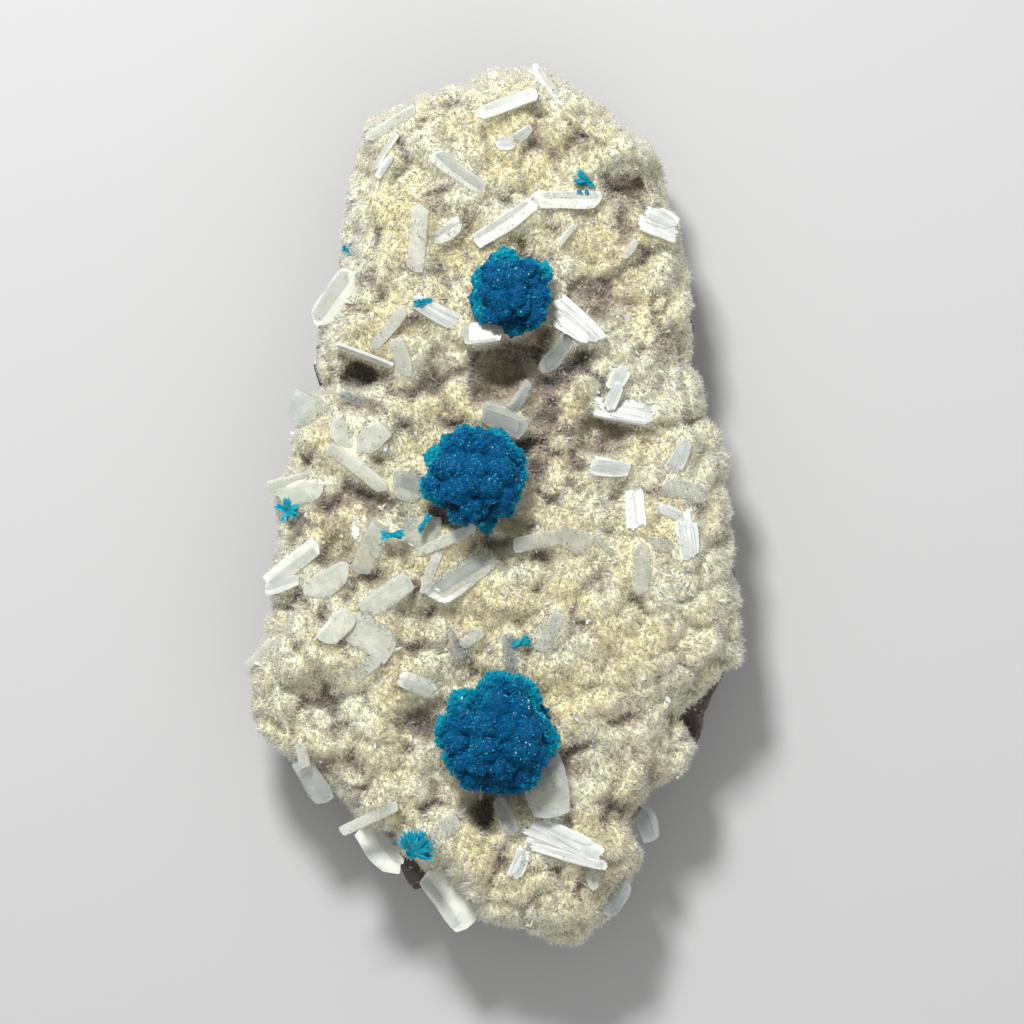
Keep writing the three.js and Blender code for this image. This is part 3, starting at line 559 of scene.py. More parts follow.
# The smallest blades are one with the crust.
smallBlades = [
    ("milky", (-8.2, 31.6, -5.3, 32.8, 0.8)), ("milky", (6.4, 25.7, 8.4, 28.1, 0.6)),
    ("milky", (13.0, 24.4, 14.4, 26.4, 0.8)), ("milky", (11.8, 18.3, 12.8, 19.5, 0.8)),
    ("milky", (22.2, -0.9, 24.0, -0.7, 2.0)), ("grey", (10.1, -3.1, 12.0, -5.3, 0.6)),
    ("clear", (-15.6, 11.0, -12.8, 10.1, 1.2)), ("milky", (-13.7, -0.3, -13.8, -3.8, 0.9)),
    ("milky", (-3.3, -14.4, -1.0, -12.7, 1.1)), ("clear", (-4.6, -10.6, -3.2, -15.7, 1.5)),
    ("clear", (1.3, -12.9, 2.1, -18.1, 1.3)), ("milky", (9.5, -35.9, 10.2, -38.8, 1.2)),
    ("silky", (1.9, -37.7, 3.2, -34.3, 1.3)), ("milky", (-6.5, -34.2, -3.5, -31.5, 1.8)),
    ("milky", (-14.2, -17.7, -11.3, -15.2, 1.5)), ("milky", (4.6, -14.9, 6.7, -10.8, 1.4)),
    ("milky", (-19.4, -24.0, -18.9, -26.6, 1.2)),
]
bladeForm = {
    "columns": 9, "stations": 12,
    "seed": 9000,  # of the small blades; the others count from 0, in hundreds
    "lift": 0.3,  # of the small blades over the crust, in mm
    "thick": (0.5, 0.5, 1.0),  # thickness as a share of the width, and its least and most in mm
    "flat": 2.0,  # width in mm from which a grey or clear blade is a plate
    "ragged": {"silky": 0.4},  # of the ends, in mm
    "smooth": 0.05,  # the same for the other looks
    "bend": 0.012,  # usual bend, as a share of the length
    "ridge": {"silky": 0.004, "white": 0.004},  # height of the lines along a blade, in mm
    "edge": 0.84,  # share of the thickness left at a layer's edges
    "bevel": 0.1,  # width of the fall to the edges, as a share of the width
    "ends": ((0.45, 1.0), (0.4, 1.5), (0.22, 2.5), (0.12, 1.2)),  # height as a share of the width, and power
    "sample": (0.14, 0.3, 0.44, 0.56, 0.7, 0.86),  # places along a blade where its CAD face is felt
}


class Gathered:
    # points and faces gathered into one mesh, with a UV map that runs along each blade
    def __init__(self):
        self.points, self.faces, self.along, self.edges, self.looks = [], [], [], [], []

    def add(self, points, faces, along, edges, look=0):
        start = len(self.points)
        self.points += [tuple(p) for p in points]
        self.faces += [tuple(start + i for i in face) for face in faces]
        self.along += [tuple(a) for a in along]
        self.edges += list(edges)
        self.looks += [look] * len(faces)

    def mesh(self, name):
        mesh = meshOf(self.points, self.faces, name)
        setAttribute(mesh, "edge", self.edges)
        mesh.polygons.foreach_set("material_index", self.looks)
        layer = mesh.uv_layers.new(name="along")
        corners = np.zeros(len(mesh.loops), np.int32)
        mesh.loops.foreach_get("vertex_index", corners)
        layer.data.foreach_set("uv", np.asarray(self.along, np.float32)[corners].ravel())
        return mesh


def bladeLayer(rng, length, width, thick, ragged, bend, ends, ridge):
    # one closed layer of a blade, centred on the origin, along Y, with roofed ends
    form = bladeForm
    steps = np.cumsum(rng.uniform(0.4, 1.6, form["columns"]))
    u = np.concatenate([[0], steps])
    u = u / u[-1] * 2 - 1
    t = np.linspace(0, 1, form["stations"] + 1)
    across, part = np.meshgrid(u, t)  # part is the place along the layer, 0 to 1
    falls = []  # of each end, from its tip: pointed, rounded or cut nearly straight
    for _ in range(2):
        share, power = ends[rng.integers(len(ends))]
        peak = rng.uniform(-0.5, 0.5)
        roof = min(width * share, length * 0.3) * (np.abs(u - peak) / (1 + abs(peak))) ** power
        falls.append(roof + rng.uniform(0, 0.1) * width * (u + 1) + rng.uniform(0, ragged, len(u)))
    low = -length / 2 + falls[0]
    high = length / 2 - falls[1]
    y = low + (high - low) * part
    wave = (1 + 0.05 * np.sin(rng.uniform(0, 6.28) + part * rng.uniform(4, 9))
            - 0.14 * np.abs(2 * part - 1) ** 3)
    x = across * width / 2 * wave + bend * length * (4 * part * (1 - part) - 0.5)
    toEdge = np.clip((1 - np.abs(across)) / form["bevel"], 0, 1)
    toEnd = np.clip(np.minimum(part, 1 - part) * length / (0.3 * width), 0, 1)
    fall = form["edge"] + (1 - form["edge"]) * np.minimum(toEdge, toEnd)
    ridges = rng.normal(0, ridge, len(u)) + rng.normal(0, 0.2 * ridge, across.shape)
    inner = toEdge * toEnd
    top = np.stack([x, y, thick / 2 * fall + ridges * inner], -1).reshape(-1, 3)
    bottom = np.stack([x, y, -thick / 2 * fall + 0.6 * ridges * inner], -1).reshape(-1, 3)
    wide, count = len(u), len(top)
    faces = []
    for j in range(len(t) - 1):
        for i in range(wide - 1):
            a = j * wide + i
            faces.append((a, a + 1, a + 1 + wide, a + wide))
            faces.append((count + a, count + a + wide, count + a + 1 + wide, count + a + 1))
    last = (len(t) - 1) * wide
    ring = [*range(wide), *range(2 * wide - 1, last + wide, wide)]  # round the outline
    ring += [*range(last + wide - 2, last - 1, -1), *range(last - wide, 0, -wide)]
    for k, a in enumerate(ring):
        b = ring[(k + 1) % len(ring)]
        faces.append((count + a, count + b, b, a))
    points = np.concatenate([top, bottom])
    along = points[:, :2] + rng.uniform(0, 0.05, 2)
    # the outer ring of points, where the finish paints a highlight
    edge = np.zeros(across.shape)
    edge[0] = edge[-1] = edge[:, 0] = edge[:, -1] = 1
    return points, faces, along, np.tile(edge.ravel(), 2)


def layersOf(look, rng, length, width, thick):
    # (length, width, thickness, shift across, shift along, height, turn) of each layer of a blade
    layers = []
    if look == "silky":
        count = max(4, int(width / (0.36 * mm)))
        for i in range(count):
            place = (i + 0.5) / count - 0.5
            layers.append((length * rng.uniform(0.6, 1.0), width / count * rng.uniform(1.5, 2.8),
                           thick * rng.uniform(0.6, 0.9), place * width * 0.84,
                           length * rng.uniform(-0.1, 0.1), thick * rng.uniform(-0.08, 0.08),
                           radians(place * rng.uniform(0, 16) + rng.normal(0, 2.5))))
        layers.append((length * 0.92, width * 0.9, thick * 0.78, 0, 0, -0.04 * thick, 0))
        return layers
    layers.append((length, width, thick * 0.76, 0, 0, -0.1 * thick, 0))
    if look == "clear":
        # a facet inside, a little turned
        layers.append((length * 0.8, width * rng.uniform(0.4, 0.6), thick * 0.7,
                       width * rng.uniform(-0.15, 0.15), 0, -0.05 * thick,
                       radians(rng.choice([-1, 1]) * rng.uniform(3, 6))))
    if look == "white":
        # one thin step of growth, flush with one side
        share = rng.uniform(0.35, 0.6)
        layers.append((length * rng.uniform(0.75, 0.95), width * share, thick * 0.66,
                       width * (1 - share) * 0.49 * rng.choice([-1, 1]), length * rng.uniform(-0.06, 0.06),
                       -0.03 * thick, radians(rng.normal(0, 0.8))))
    return layers


def bladeFrame(surface, blade):
    # where a blade lies: the CAD face on which most rays from above agree
    x1, y1, x2, y2, width = [part * mm for part in blade]
    side = Vector((y2 - y1, x1 - x2, 0)).normalized() * width
    hits = []
    for t in bladeForm["sample"]:
        for s in (-0.22, 0, 0.22):
            start = Vector((x1 + (x2 - x1) * t, y1 + (y2 - y1) * t, above)) + side * s
            place, normal = surface.ray_cast(start, down)[:2]
            if place and normal.z > 0.3:
                hits.append((place, normal))
    if not hits:
        return None
    agree = [sum(normal.dot(n) > 0.995 and abs(normal.dot(p - place)) < 0.06 * mm for p, n in hits)
             for place, normal in hits]
    place, normal = hits[agree.index(max(agree))]
    share, least, most = bladeForm["thick"]
    thick = min(max(width * share, least * mm), most * mm)

    def middle(x, y):
        rise = -(normal.x * (x - place.x) + normal.y * (y - place.y)) / normal.z
        return Vector((x, y, place.z + rise - thick / 2 / normal.z))
    ends = [middle(x1, y1), middle(x2, y2)]
    along = (ends[1] - ends[0]).normalized()
    across = along.cross(normal).normalized()
    turn = Matrix((across, along, normal)).transposed().to_4x4()
    turn.translation = (ends[0] + ends[1]) / 2
    return turn, (ends[1] - ends[0]).length, width, thick


def addBlade(gathered, surface, blade, look, index, seed, lift=0.0):
    found = bladeFrame(surface, blade)
    if not found:
        print("no face felt for blade", blade)
        return
    turn, length, width, thick = found
    turn.translation += lift * up
    form = bladeForm
    rng = np.random.default_rng(seed)
    ragged = form["ragged"].get(look, form["smooth"]) * mm
    ridge = form["ridge"].get(look, 0) * mm
    bend = rng.normal(0, form["bend"])
    plate = look in ("grey", "clear") and width > form["flat"] * mm
    ends = form["ends"][3:] if plate else form["ends"]  # plates are cut nearly straight
    for long, wide, deep, acrossBy, alongBy, height, twist in layersOf(look, rng, length, width, thick):
        rag = min(ragged, long * 0.08)
        points, faces, along, edges = bladeLayer(rng, long, wide, deep, rag, bend, ends, ridge)
        place = turn @ Matrix.Translation((acrossBy, alongBy, height)) @ Matrix.Rotation(twist, 4, "Z")
        gathered.add([place @ Vector(p) for p in points], faces, along, edges, index)


def makeStilbite():
    for number, (place, (look, blades)) in enumerate(stilbiteBlades.items()):
        name = "stilbite_" + place
        gathered = Gathered()
        surface = surfaceOf([name])
        for k, blade in enumerate(blades):
            addBlade(gathered, surface, blade, look, 0, 100 * number + k)
        finishPiece(name + "_crystal", gathered.mesh(name), look, [name])
    looks = ["white", "milky", "silky", "grey", "clear"]
    gathered = Gathered()
    surface = surfaceOf(["druse_crust"])
    for number, (look, blade) in enumerate(smallBlades):
        seed = bladeForm["seed"] + number
        addBlade(gathered, surface, blade, look, looks.index(look), seed, bladeForm["lift"] * mm)
    finishPiece("stilbite_small_blades", gathered.mesh("small blades"), looks)


makeStilbite()
print("stilbite made")

druseBed = {
    "cell": 0.5,  # of the grid on which the crust's heights are taken, all in mm
    "capFloor": 9.7,  # underside of the cap that closes the blades' pockets
    "margin": 0.7,  # round a crystal, where the crust's own height is not trusted
    "sunk": 0.34,  # by which a crystal's top stands at least over the crust
    "voxel": 0.42,
    "buried": 0.36, "raise": 1.6,  # how far the crust climbs the blades that lie on it
    "warpWidth": 2.6, "warp": 0.8,  # bends the puffs out of round
    "puffWidth": 2.8, "puffHeight": 1.5,
    "lumpWidth": 1.2, "lumpHeight": 0.4,
    "grainWidth": 0.5, "grainHeight": 0.16,
    "pitDepth": 1.3,
    "blur": 2.4,  # over which the crust's own level is evened out
    "hollowStart": 0.3, "hollowDepth": 2.4,  # below that level, where a hollow starts and is full
    "patchWidth": 4.2, "patchGrain": 1.8,  # of the darker patches
    "rim": 3.5,  # width of the rim, whose fall isn't a hollow
    "shade": 0.45,  # of room a crystal needs under a blade
}
druseShares = {  # numbers without a unit
    "settle": 900, "climb": 200,  # rounds of evening out the heights under the blades and up to them
    "puffLevel": 0.82, "lumpLevel": 0.8,  # height of a puff or lump that leaves the crust as it is
    "beside": (1.8, 0.9),  # reach of a blade's smooth surroundings, and share of the relief they lose
    "relief": (1.7, 0.7),  # of the rim, and how much less inside it
    # what makes a hollow, whose darker colour is brown grit and painted shade: depth, gaps between puffs and
    # between lumps (weight and level of each), less on the rim; then the weights of all these and of the
    # pits, less under a blade and on sides
    "deep": 0.3, "gaps": (1.3, 0.78), "smallGaps": (0.5, 0.72), "lessOnRim": 0.25,
    "between": 0.75, "pits": 0.8, "lessCovered": 0.45, "onSides": 0.5,
    "steep": 0.35,  # rise of a normal under which a face counts as a side
    # the first of these sets how much paler cream the rim gets, as painted light
    "fringe": 0.8, "growBeside": 0.6, "lathsOnRim": 1.2,
}
# Pits in the crust, sunk and darker in colour, brown grit and painted shade; some lie where a rosette's
# shadow falls: x, y, half length, half width in mm, heading in degrees from +X and share of the full depth.
pits = [
    (-12.8, 12.9, 3.0, 1.3, 0, 1.0), (-12.9, 0.8, 1.8, 1.1, -20, 0.9), (0.8, 13.6, 3.6, 2.4, 0, 0.9),
    (8.4, 14.0, 2.6, 1.1, 30, 0.9), (12.2, 7.9, 3.4, 1.4, -10, 1.0), (5.6, 8.3, 1.3, 1.0, 0, 0.6),
    (2.4, 4.8, 2.4, 1.4, 30, 0.9), (8.2, 3.8, 1.4, 1.0, 0, 0.6), (9.7, 20.8, 2.4, 1.1, 0, 0.7),
    (13.9, 31.7, 3.2, 1.3, 0, 0.9), (13.2, 28.2, 1.1, 2.4, 0, 0.7), (8.7, 37.2, 1.0, 2.0, 0, 0.55),
    (2.4, 38.7, 2.6, 1.0, 25, 0.3), (18.0, 15.9, 2.2, 2.6, 0, 0.6), (4.4, -5.4, 1.6, 1.0, 0, 0.7),
    (-17.3, -5.3, 1.6, 1.1, 0, 0.6), (-11.8, -7.3, 1.8, 1.2, 0, 0.7), (-20.2, -1.9, 1.0, 1.5, 0, 0.7),
    (-6.6, -22.3, 2.8, 1.5, -20, 1.0), (6.6, -25.6, 2.8, 1.2, 30, 0.7), (0.6, -30.2, 4.0, 2.4, 0, 0.6),
    (20.6, -22.6, 1.4, 1.6, 0, 0.5), (16.2, -26.8, 1.4, 2.6, 0, 0.6), (-15.0, -26.4, 2.4, 1.4, -20, 0.5),
    (-17.8, -22.0, 1.6, 1.2, 0, 0.35), (9.8, -38.0, 2.0, 1.2, 0, 0.4), (-0.6, 30.0, 1.2, 1.6, 0, 0.35),
    (5.2, 24.6, 2.6, 1.0, 20, 0.4), (-9.3, 7.2, 2.0, 1.4, 0, 0.4), (-5.0, 8.0, 2.2, 1.6, 0, 0.35),
    (-3.6, -13.6, 1.0, 2.0, 0, 0.35), (7.2, 7.2, 1.4, 0.9, 0, 0.8), (7.6, 2.0, 1.2, 0.8, 0, 0.7),
    (8.2, -26.8, 1.2, 1.0, 0, 0.6), (-15.9, -23.2, 1.2, 1.0, 0, 0.6), (-8.6, -24.6, 1.0, 0.8, 0, 0.7),
    (12.6, 22.0, 3.6, 3.0, 60, 0.4), (-4.9, 40.5, 1.0, 0.8, 0, 0.95), (-13.4, -2.6, 3.4, 1.6, 50, 0.45),
    (-16.4, -0.2, 1.6, 1.0, 0, 0.6), (16.4, 11.4, 2.4, 1.4, -30, 0.4),
    (-0.6, 11.2, 2.2, 1.2, 0, 0.9), (10.6, 5.9, 1.8, 1.3, 0, 0.9), (10.8, 19.2, 3.0, 1.2, 0, 0.9),
    (-14.6, 10.4, 1.8, 1.2, 0, 0.8), (-12.2, -0.6, 2.0, 1.0, 0, 0.8), (3.4, -32.8, 1.4, 1.2, 0, 0.7),
    (6.2, 27.0, 1.6, 1.0, 0, 0.5), (0.9, -1.6, 1.4, 0.9, 0, 0.7), (12.4, -25.6, 1.4, 1.4, 0, 0.5),
    (5.8, 12.2, 2.6, 1.2, 0, 0.9), (15.8, 29.3, 1.5, 1.0, 0, 0.8), (4.1, 3.4, 1.3, 1.4, 0, 0.9),
    (-18.8, -4.7, 1.2, 0.8, 0, 0.7), (12.7, 19.9, 1.5, 1.1, 0, 0.9), (-16.8, 11.8, 1.2, 1.0, 0, 0.6),
]
# Paler places, painted light where the lamps leave the crust darker: x, y, half length, half width in mm and
# share.
paintedLightSpots = [
    (23.0, -15.0, 2.6, 4.4, 1.0), (0.1, -5.4, 1.8, 1.2, 0.9), (-4.0, -27.8, 2.2, 1.8, 0.8),
    (-8.2, -10.3, 1.6, 1.2, 0.9), (21.6, -6.4, 2.4, 3.0, 0.9), (14.2, -18.8, 2.8, 2.0, 0.8),
    (15.0, 34.4, 2.8, 2.0, 0.9), (10.2, -16.8, 2.0, 1.6, 0.8), (19.8, -18.8, 2.4, 2.0, 0.8),
    (22.8, -2.4, 1.6, 3.0, 0.95), (-4.8, -37.6, 2.8, 2.0, 1.0), (-0.8, -39.4, 3.2, 1.8, 1.0),
    (-6.3, -32.7, 2.2, 1.8, 0.8), (14.0, -12.6, 2.2, 3.0, 0.5), (3.4, -41.6, 2.4, 1.2, 0.9),
    (-3.6, -18.4, 1.6, 1.6, 0.6), (19.5, -13.0, 2.4, 1.8, 0.6), (2.1, 6.4, 1.6, 1.0, 0.8),
    (-17.8, -18.1, 1.8, 1.6, 0.6), (20.1, -0.2, 1.4, 1.4, 0.6), (9.5, 15.4, 1.2, 1.0, 0.6),
    (14.2, -9.5, 2.0, 1.4, 0.7), (18.1, 22.1, 1.2, 1.6, 0.5),
]
# What grows on the crust: smallest and largest are width, thickness and length in mm, lean is in degrees.
druseCrystals = {"habit": "grains", "finish": "druse", "perSquareMm": 26, "smallest": (0.09, 0.07, 0.26),
                 "largest": (0.22, 0.15, 0.74), "lean": 54, "seed": 40,
                 "bands": (-0.046, -0.0265, -0.0105, 0.0085, 0.025, 0.046)}  # Y in metres, a piece each
# small white crystals that paint glints over the crust
druseSparks = {"habit": "prisms", "finish": "lath", "perSquareMm": 0.8, "smallest": (0.12, 0.08, 0.14),
               "largest": (0.3, 0.18, 0.42), "lean": 50, "seed": 80}
druseLaths = {"habit": "prisms", "finish": "lath", "perSquareMm": 0.07, "smallest": (0.2, 0.1, 0.4),
              "largest": (0.42, 0.2, 1.1), "lean": 62, "seed": 90}


class HeightGrid:
    def __init__(self, low, high, cell):
        self.low, self.cell = low, cell
        self.shape = (int((high.y - low.y) / cell) + 2, int((high.x - low.x) / cell) + 2)

    def places(self):
        rows, columns = np.mgrid[0:self.shape[0], 0:self.shape[1]]
        return self.low.x + columns * self.cell, self.low.y + rows * self.cell

    def feel(self, surface, direction):
        # height where a vertical ray meets a surface, NaN where it misses
        found = np.full(self.shape, np.nan)
        start = above if direction.z < 0 else below
        xs, ys = self.places()
        for index in np.ndindex(self.shape):
            place = surface.ray_cast(Vector((xs[index], ys[index], start)), direction)[0]
            if place:
                found[index] = place.z
        return found

    def at(self, grid, x, y):
        # bilinear
        c = np.clip((x - self.low.x) / self.cell, 0, self.shape[1] - 1.001)
        r = np.clip((y - self.low.y) / self.cell, 0, self.shape[0] - 1.001)
        c0, r0 = c.astype(int), r.astype(int)
        fc, fr = c - c0, r - r0
        return ((grid[r0, c0] * (1 - fc) + grid[r0, c0 + 1] * fc) * (1 - fr)
                + (grid[r0 + 1, c0] * (1 - fc) + grid[r0 + 1, c0 + 1] * fc) * fr)


def spread(mask, times):
    for _ in range(times):
        grown = mask.copy()
        grown[1:] |= mask[:-1]
        grown[:-1] |= mask[1:]
        grown[:, 1:] |= mask[:, :-1]
        grown[:, :-1] |= mask[:, 1:]
        mask = grown
    return mask


def neighbourMean(values, valid):
    # mean of the four neighbours that are valid
    total, count = np.zeros(values.shape), np.zeros(values.shape)
    held = np.where(valid, values, 0.0)
    for axis in (0, 1):
        for step in (1, -1):
            moved, there = np.roll(held, step, axis), np.roll(valid, step, axis)
            edge = [slice(None), slice(None)]
            edge[axis] = 0 if step == 1 else -1
            there = there.copy()
            there[tuple(edge)] = False
            total += np.where(there, moved, 0)
            count += there
    return np.where(count > 0, total / np.maximum(count, 1), values)


def blurred(values, valid, width):
    # gaussian, over valid cells alone
    reach = int(3 * width)
    kernel = np.exp(-0.5 * (np.arange(-reach, reach + 1) / width) ** 2)

    def run(grid):
        for axis in (0, 1):
            grid = np.apply_along_axis(lambda line: np.convolve(line, kernel, "same"), axis, grid)
        return grid
    weight = run(valid.astype(float))
    return run(np.where(valid, values, 0.0)) / np.maximum(weight, 1e-9)


def crustHeights(bed):
    # the crust's height inside its whole outline, also under the blades that stand in its pockets
    low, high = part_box("druse_crust")
    grid = HeightGrid(low, high, bed["cell"])
    standing = [n for n in nodes if n not in ("druse_crust", "basalt_matrix")]
    over = surfaceOf(standing)
    top = grid.feel(surfaceOf(["druse_crust"]), down)
    overTop, overBottom = grid.feel(over, down), grid.feel(over, up)
    inside = ~np.isnan(top)
    covered = ~np.isnan(overTop)
    lying = grid.feel(surfaceOf([n for n in standing if n.startswith("stilbite")]), down)
    xs, ys = grid.places()
    for _, (x1, y1, x2, y2, width) in smallBlades:
        a, b = np.array([x1, y1]) * mm, np.array([x2, y2]) * mm
        t = np.clip(((xs - a[0]) * (b - a)[0] + (ys - a[1]) * (b - a)[1]) / ((b - a) ** 2).sum(), 0, 1)
        far = np.hypot(xs - a[0] - t * (b - a)[0], ys - a[1] - t * (b - a)[1])
        covered |= far < width / 2 * mm + bed["margin"] / 2
        lying = np.where(far < width / 2 * mm, top + bladeForm["lift"] * mm, lying)
    known = inside & ~spread(covered, round(bed["margin"] / bed["cell"]) + 1)
    ceiling = np.where(np.isnan(overTop), np.inf, overTop - bed["sunk"])
    heights = np.where(known, top, np.nanmean(top))
    for _ in range(druseShares["settle"]):
        heights = np.where(known, top, np.minimum(neighbourMean(heights, inside), ceiling))
    held = inside & ~np.isnan(lying)
    print("blades stand", round(float(np.median((lying - heights)[held])) / mm, 2), "mm over the crust")
    raised = np.where(held, np.clip(lying - bed["buried"], heights, heights + bed["raise"]), heights)
    for _ in range(druseShares["climb"]):
        heights = np.where(known | held, raised, np.minimum(neighbourMean(heights, inside), ceiling))
    return grid, heights, inside, covered, held, overBottom


def pocketCap(grid, heights, inside, floor):
    # a slab that closes the pockets, from the crust's heights down to the floor
    xs, ys = grid.places()
    solid = inside & ~spread(~inside, 1)
    solid[0] = solid[-1] = solid[:, 0] = solid[:, -1] = False
    work = bmesh.new()
    corners = {}

    def corner(r, c):
        if (r, c) not in corners:
            corners[r, c] = work.verts.new((xs[r, c], ys[r, c], heights[r, c]))
        return corners[r, c]
    for r, c in np.ndindex(grid.shape[0] - 1, grid.shape[1] - 1):
        if solid[r:r + 2, c:c + 2].all():
            work.faces.new([corner(r, c), corner(r, c + 1), corner(r + 1, c + 1), corner(r + 1, c)])
    sides = bmesh.ops.extrude_face_region(work, geom=work.faces[:])
    for element in sides["geom"]:
        if isinstance(element, bmesh.types.BMVert):
            element.co.z = floor
    bmesh.ops.recalc_face_normals(work, faces=work.faces)
    return meshFrom(work, "cap")


def makeDruse():
    shares = druseShares
    bed = {key: value * mm for key, value in druseBed.items()}
    grid, heights, inside, covered, held, overBottom = crustHeights(bed)
    cap = pocketCap(grid, heights, inside, bed["capFloor"])
    mesh = remeshed(joinMeshes([mergedMesh("druse_crust"), cap], "bed"), bed["voxel"], 2)
    places, normals = pointArrays(mesh)

    def here(values):
        # a grid's values at the mesh's points
        return grid.at(values, places[:, 0], places[:, 1])
    outward = np.clip(normals[:, 2] * 2 + 1, 0, 1)  # none on the underside
    bent = [Vector(p) + bed["warp"] * noise.noise_vector(Vector(p) / bed["warpWidth"]) for p in places]
    puffs = np.array([lumps(p, bed["puffWidth"], 3.0) for p in bent])
    knobs = np.array([lumps(p, bed["lumpWidth"]) for p in bent])
    sunken = np.zeros(len(places))
    for x, y, long, wide, heading, share in pits:
        east, north = cos(radians(heading)), sin(radians(heading))
        dx, dy = places[:, 0] - x * mm, places[:, 1] - y * mm
        far = np.hypot((dx * east + dy * north) / long, (dy * east - dx * north) / wide) / mm
        sunken = np.maximum(sunken, share * np.exp(-far ** 2))
    relief = (bed["puffHeight"] * (puffs - shares["puffLevel"])
              + bed["lumpHeight"] * (knobs - shares["lumpLevel"])
              + bed["grainHeight"] * np.array([rough(p, bed["grainWidth"]) for p in places])
              - bed["pitDepth"] * sunken)
    wider, flatter = shares["beside"]
    beside = np.clip(wider * here(blurred(held.astype(float), inside, 1.0)), 0, 1)
    away = np.zeros(grid.shape)
    for step in range(1, 1 + round(bed["rim"] / bed["cell"])):
        away += inside & ~spread(~inside, step)
    inner = here(away / away.max())
    most, less = shares["relief"]
    relief *= outward * (1 - flatter * beside) * (most - less * inner)  # the rim is lumpier
    places += normals * relief[:, None]
    movePoints(mesh, places)
    places, normals = pointArrays(mesh)
    level = here(blurred(heights, inside, bed["blur"] / bed["cell"]))
    patchy = np.array([rough(p, bed["patchWidth"], 7.0) + 0.5 * rough(p, bed["patchGrain"], 3.0)
                       for p in places])
    deep = (level - places[:, 2] - bed["hollowStart"]) / bed["hollowDepth"]
    # the paler places lighten the colour, as painted light
    pale = np.zeros(len(places))
    for x, y, long, wide, share in paintedLightSpots:
        far = ((places[:, 0] / mm - x) / long) ** 2 + ((places[:, 1] / mm - y) / wide) ** 2
        pale = np.maximum(pale, share * np.exp(-far))
    # the darker colour of the hollows, from depth, gaps and pits, is brown grit and painted shade
    (large, puffGap), (small, lumpGap) = shares["gaps"], shares["smallGaps"]
    between = np.clip(shares["deep"] * deep * inner + large * (puffGap - puffs) + small * (lumpGap - knobs)
                      + patchy - shares["lessOnRim"] * (1 - inner) - pale, 0, 1)
    hollow = np.clip(shares["between"] * between + shares["pits"] * sunken, 0, 1)
    hollow *= 1 - shares["lessCovered"] * here(covered.astype(float))
    print("hollow over a half on", round(100 * np.mean(hollow > 0.5)), "% of the bed")
    hollow = np.where(normals[:, 2] < shares["steep"], hollow * shares["onSides"], hollow)
    setAttribute(mesh, "hollow", hollow)
    # the rim and the paler places get a paler cream: painted light
    setAttribute(mesh, "fringe", np.clip(shares["fringe"] * (1 - inner) + pale, 0, 1))
    room = here(np.where(np.isnan(overBottom), 1.0, overBottom)) - places[:, 2]
    deepUnder = here((~spread(np.isnan(overBottom), 1)).astype(float))
    free = np.where(room > bed["shade"], 1.0, shares["growBeside"] * (deepUnder < 0.5))
    free = free * (normals[:, 2] > -0.2)
    setAttribute(mesh, "grow", free)
    print("druse bed:", len(mesh.polygons), "faces")
    for k, band in enumerate(zip(druseCrystals["bands"], druseCrystals["bands"][1:])):
        crystals = growOn(mesh, druseCrystals, 10 * k, band)
        finishPiece(f"druse_crystals_{k + 1}", crystals, "druse")
        print("druse crystals", k + 1, len(crystals.polygons), "faces")
    sparks = growOn(mesh, druseSparks)
    # the bright laths stand closer towards the rim
    setValues(mesh.attributes["grow"], free * (1 + shares["lathsOnRim"] * (1 - inner)))
    # the laths together with the sparks, which paint glints
    laths = joinMeshes([sparks, growOn(mesh, druseLaths)], "laths")
    finishPiece("druse_laths", laths, "lath")
    print("laths:", len(laths.polygons), "faces")
    mesh.attributes.remove(mesh.attributes["grow"])
    finishPiece("druse_bed", mesh, "bed", ["druse_crust"])


makeDruse()
print("druse made")

rosetteForm = {
    "levels": 6,
    "core": 0.96,  # radius of the lobed core, as a share of the rosette's
    "swell": 0.12,  # slow rise and fall, as a share of the radius
    "lobeWidth": 0.5, "lobeHeight": 0.32,  # as shares of the radius
    "knobWidth": 0.9, "knobHeight": 0.42,  # in mm
    "lobeLevel": 0.72, "knobLevel": 0.75,  # height of a lobe or knob that leaves the radius as it is
    "most": 1.06,  # largest radius, as a share of the rosette's
    "fine": {"habit": "prisms", "finish": "rosette", "perSquareMm": 24, "smallest": (0.14, 0.12, 0.03),
             "largest": (0.3, 0.22, 0.14), "lean": 24, "seed": 300},
    "rim": {"habit": "prisms", "finish": "rosette", "perSquareMm": 3.2, "smallest": (0.2, 0.14, 0.2),
            "largest": (0.55, 0.34, 0.5), "lean": 30, "seed": 400},
    # pale cyan and white crystals that paint glints
    "painted_glints": {"habit": "prisms", "finish": "glint", "perSquareMm": 4.2, "smallest": (0.04, 0.03, 0.1),
               "largest": (0.16, 0.12, 0.22), "lean": 40, "seed": 500},
}


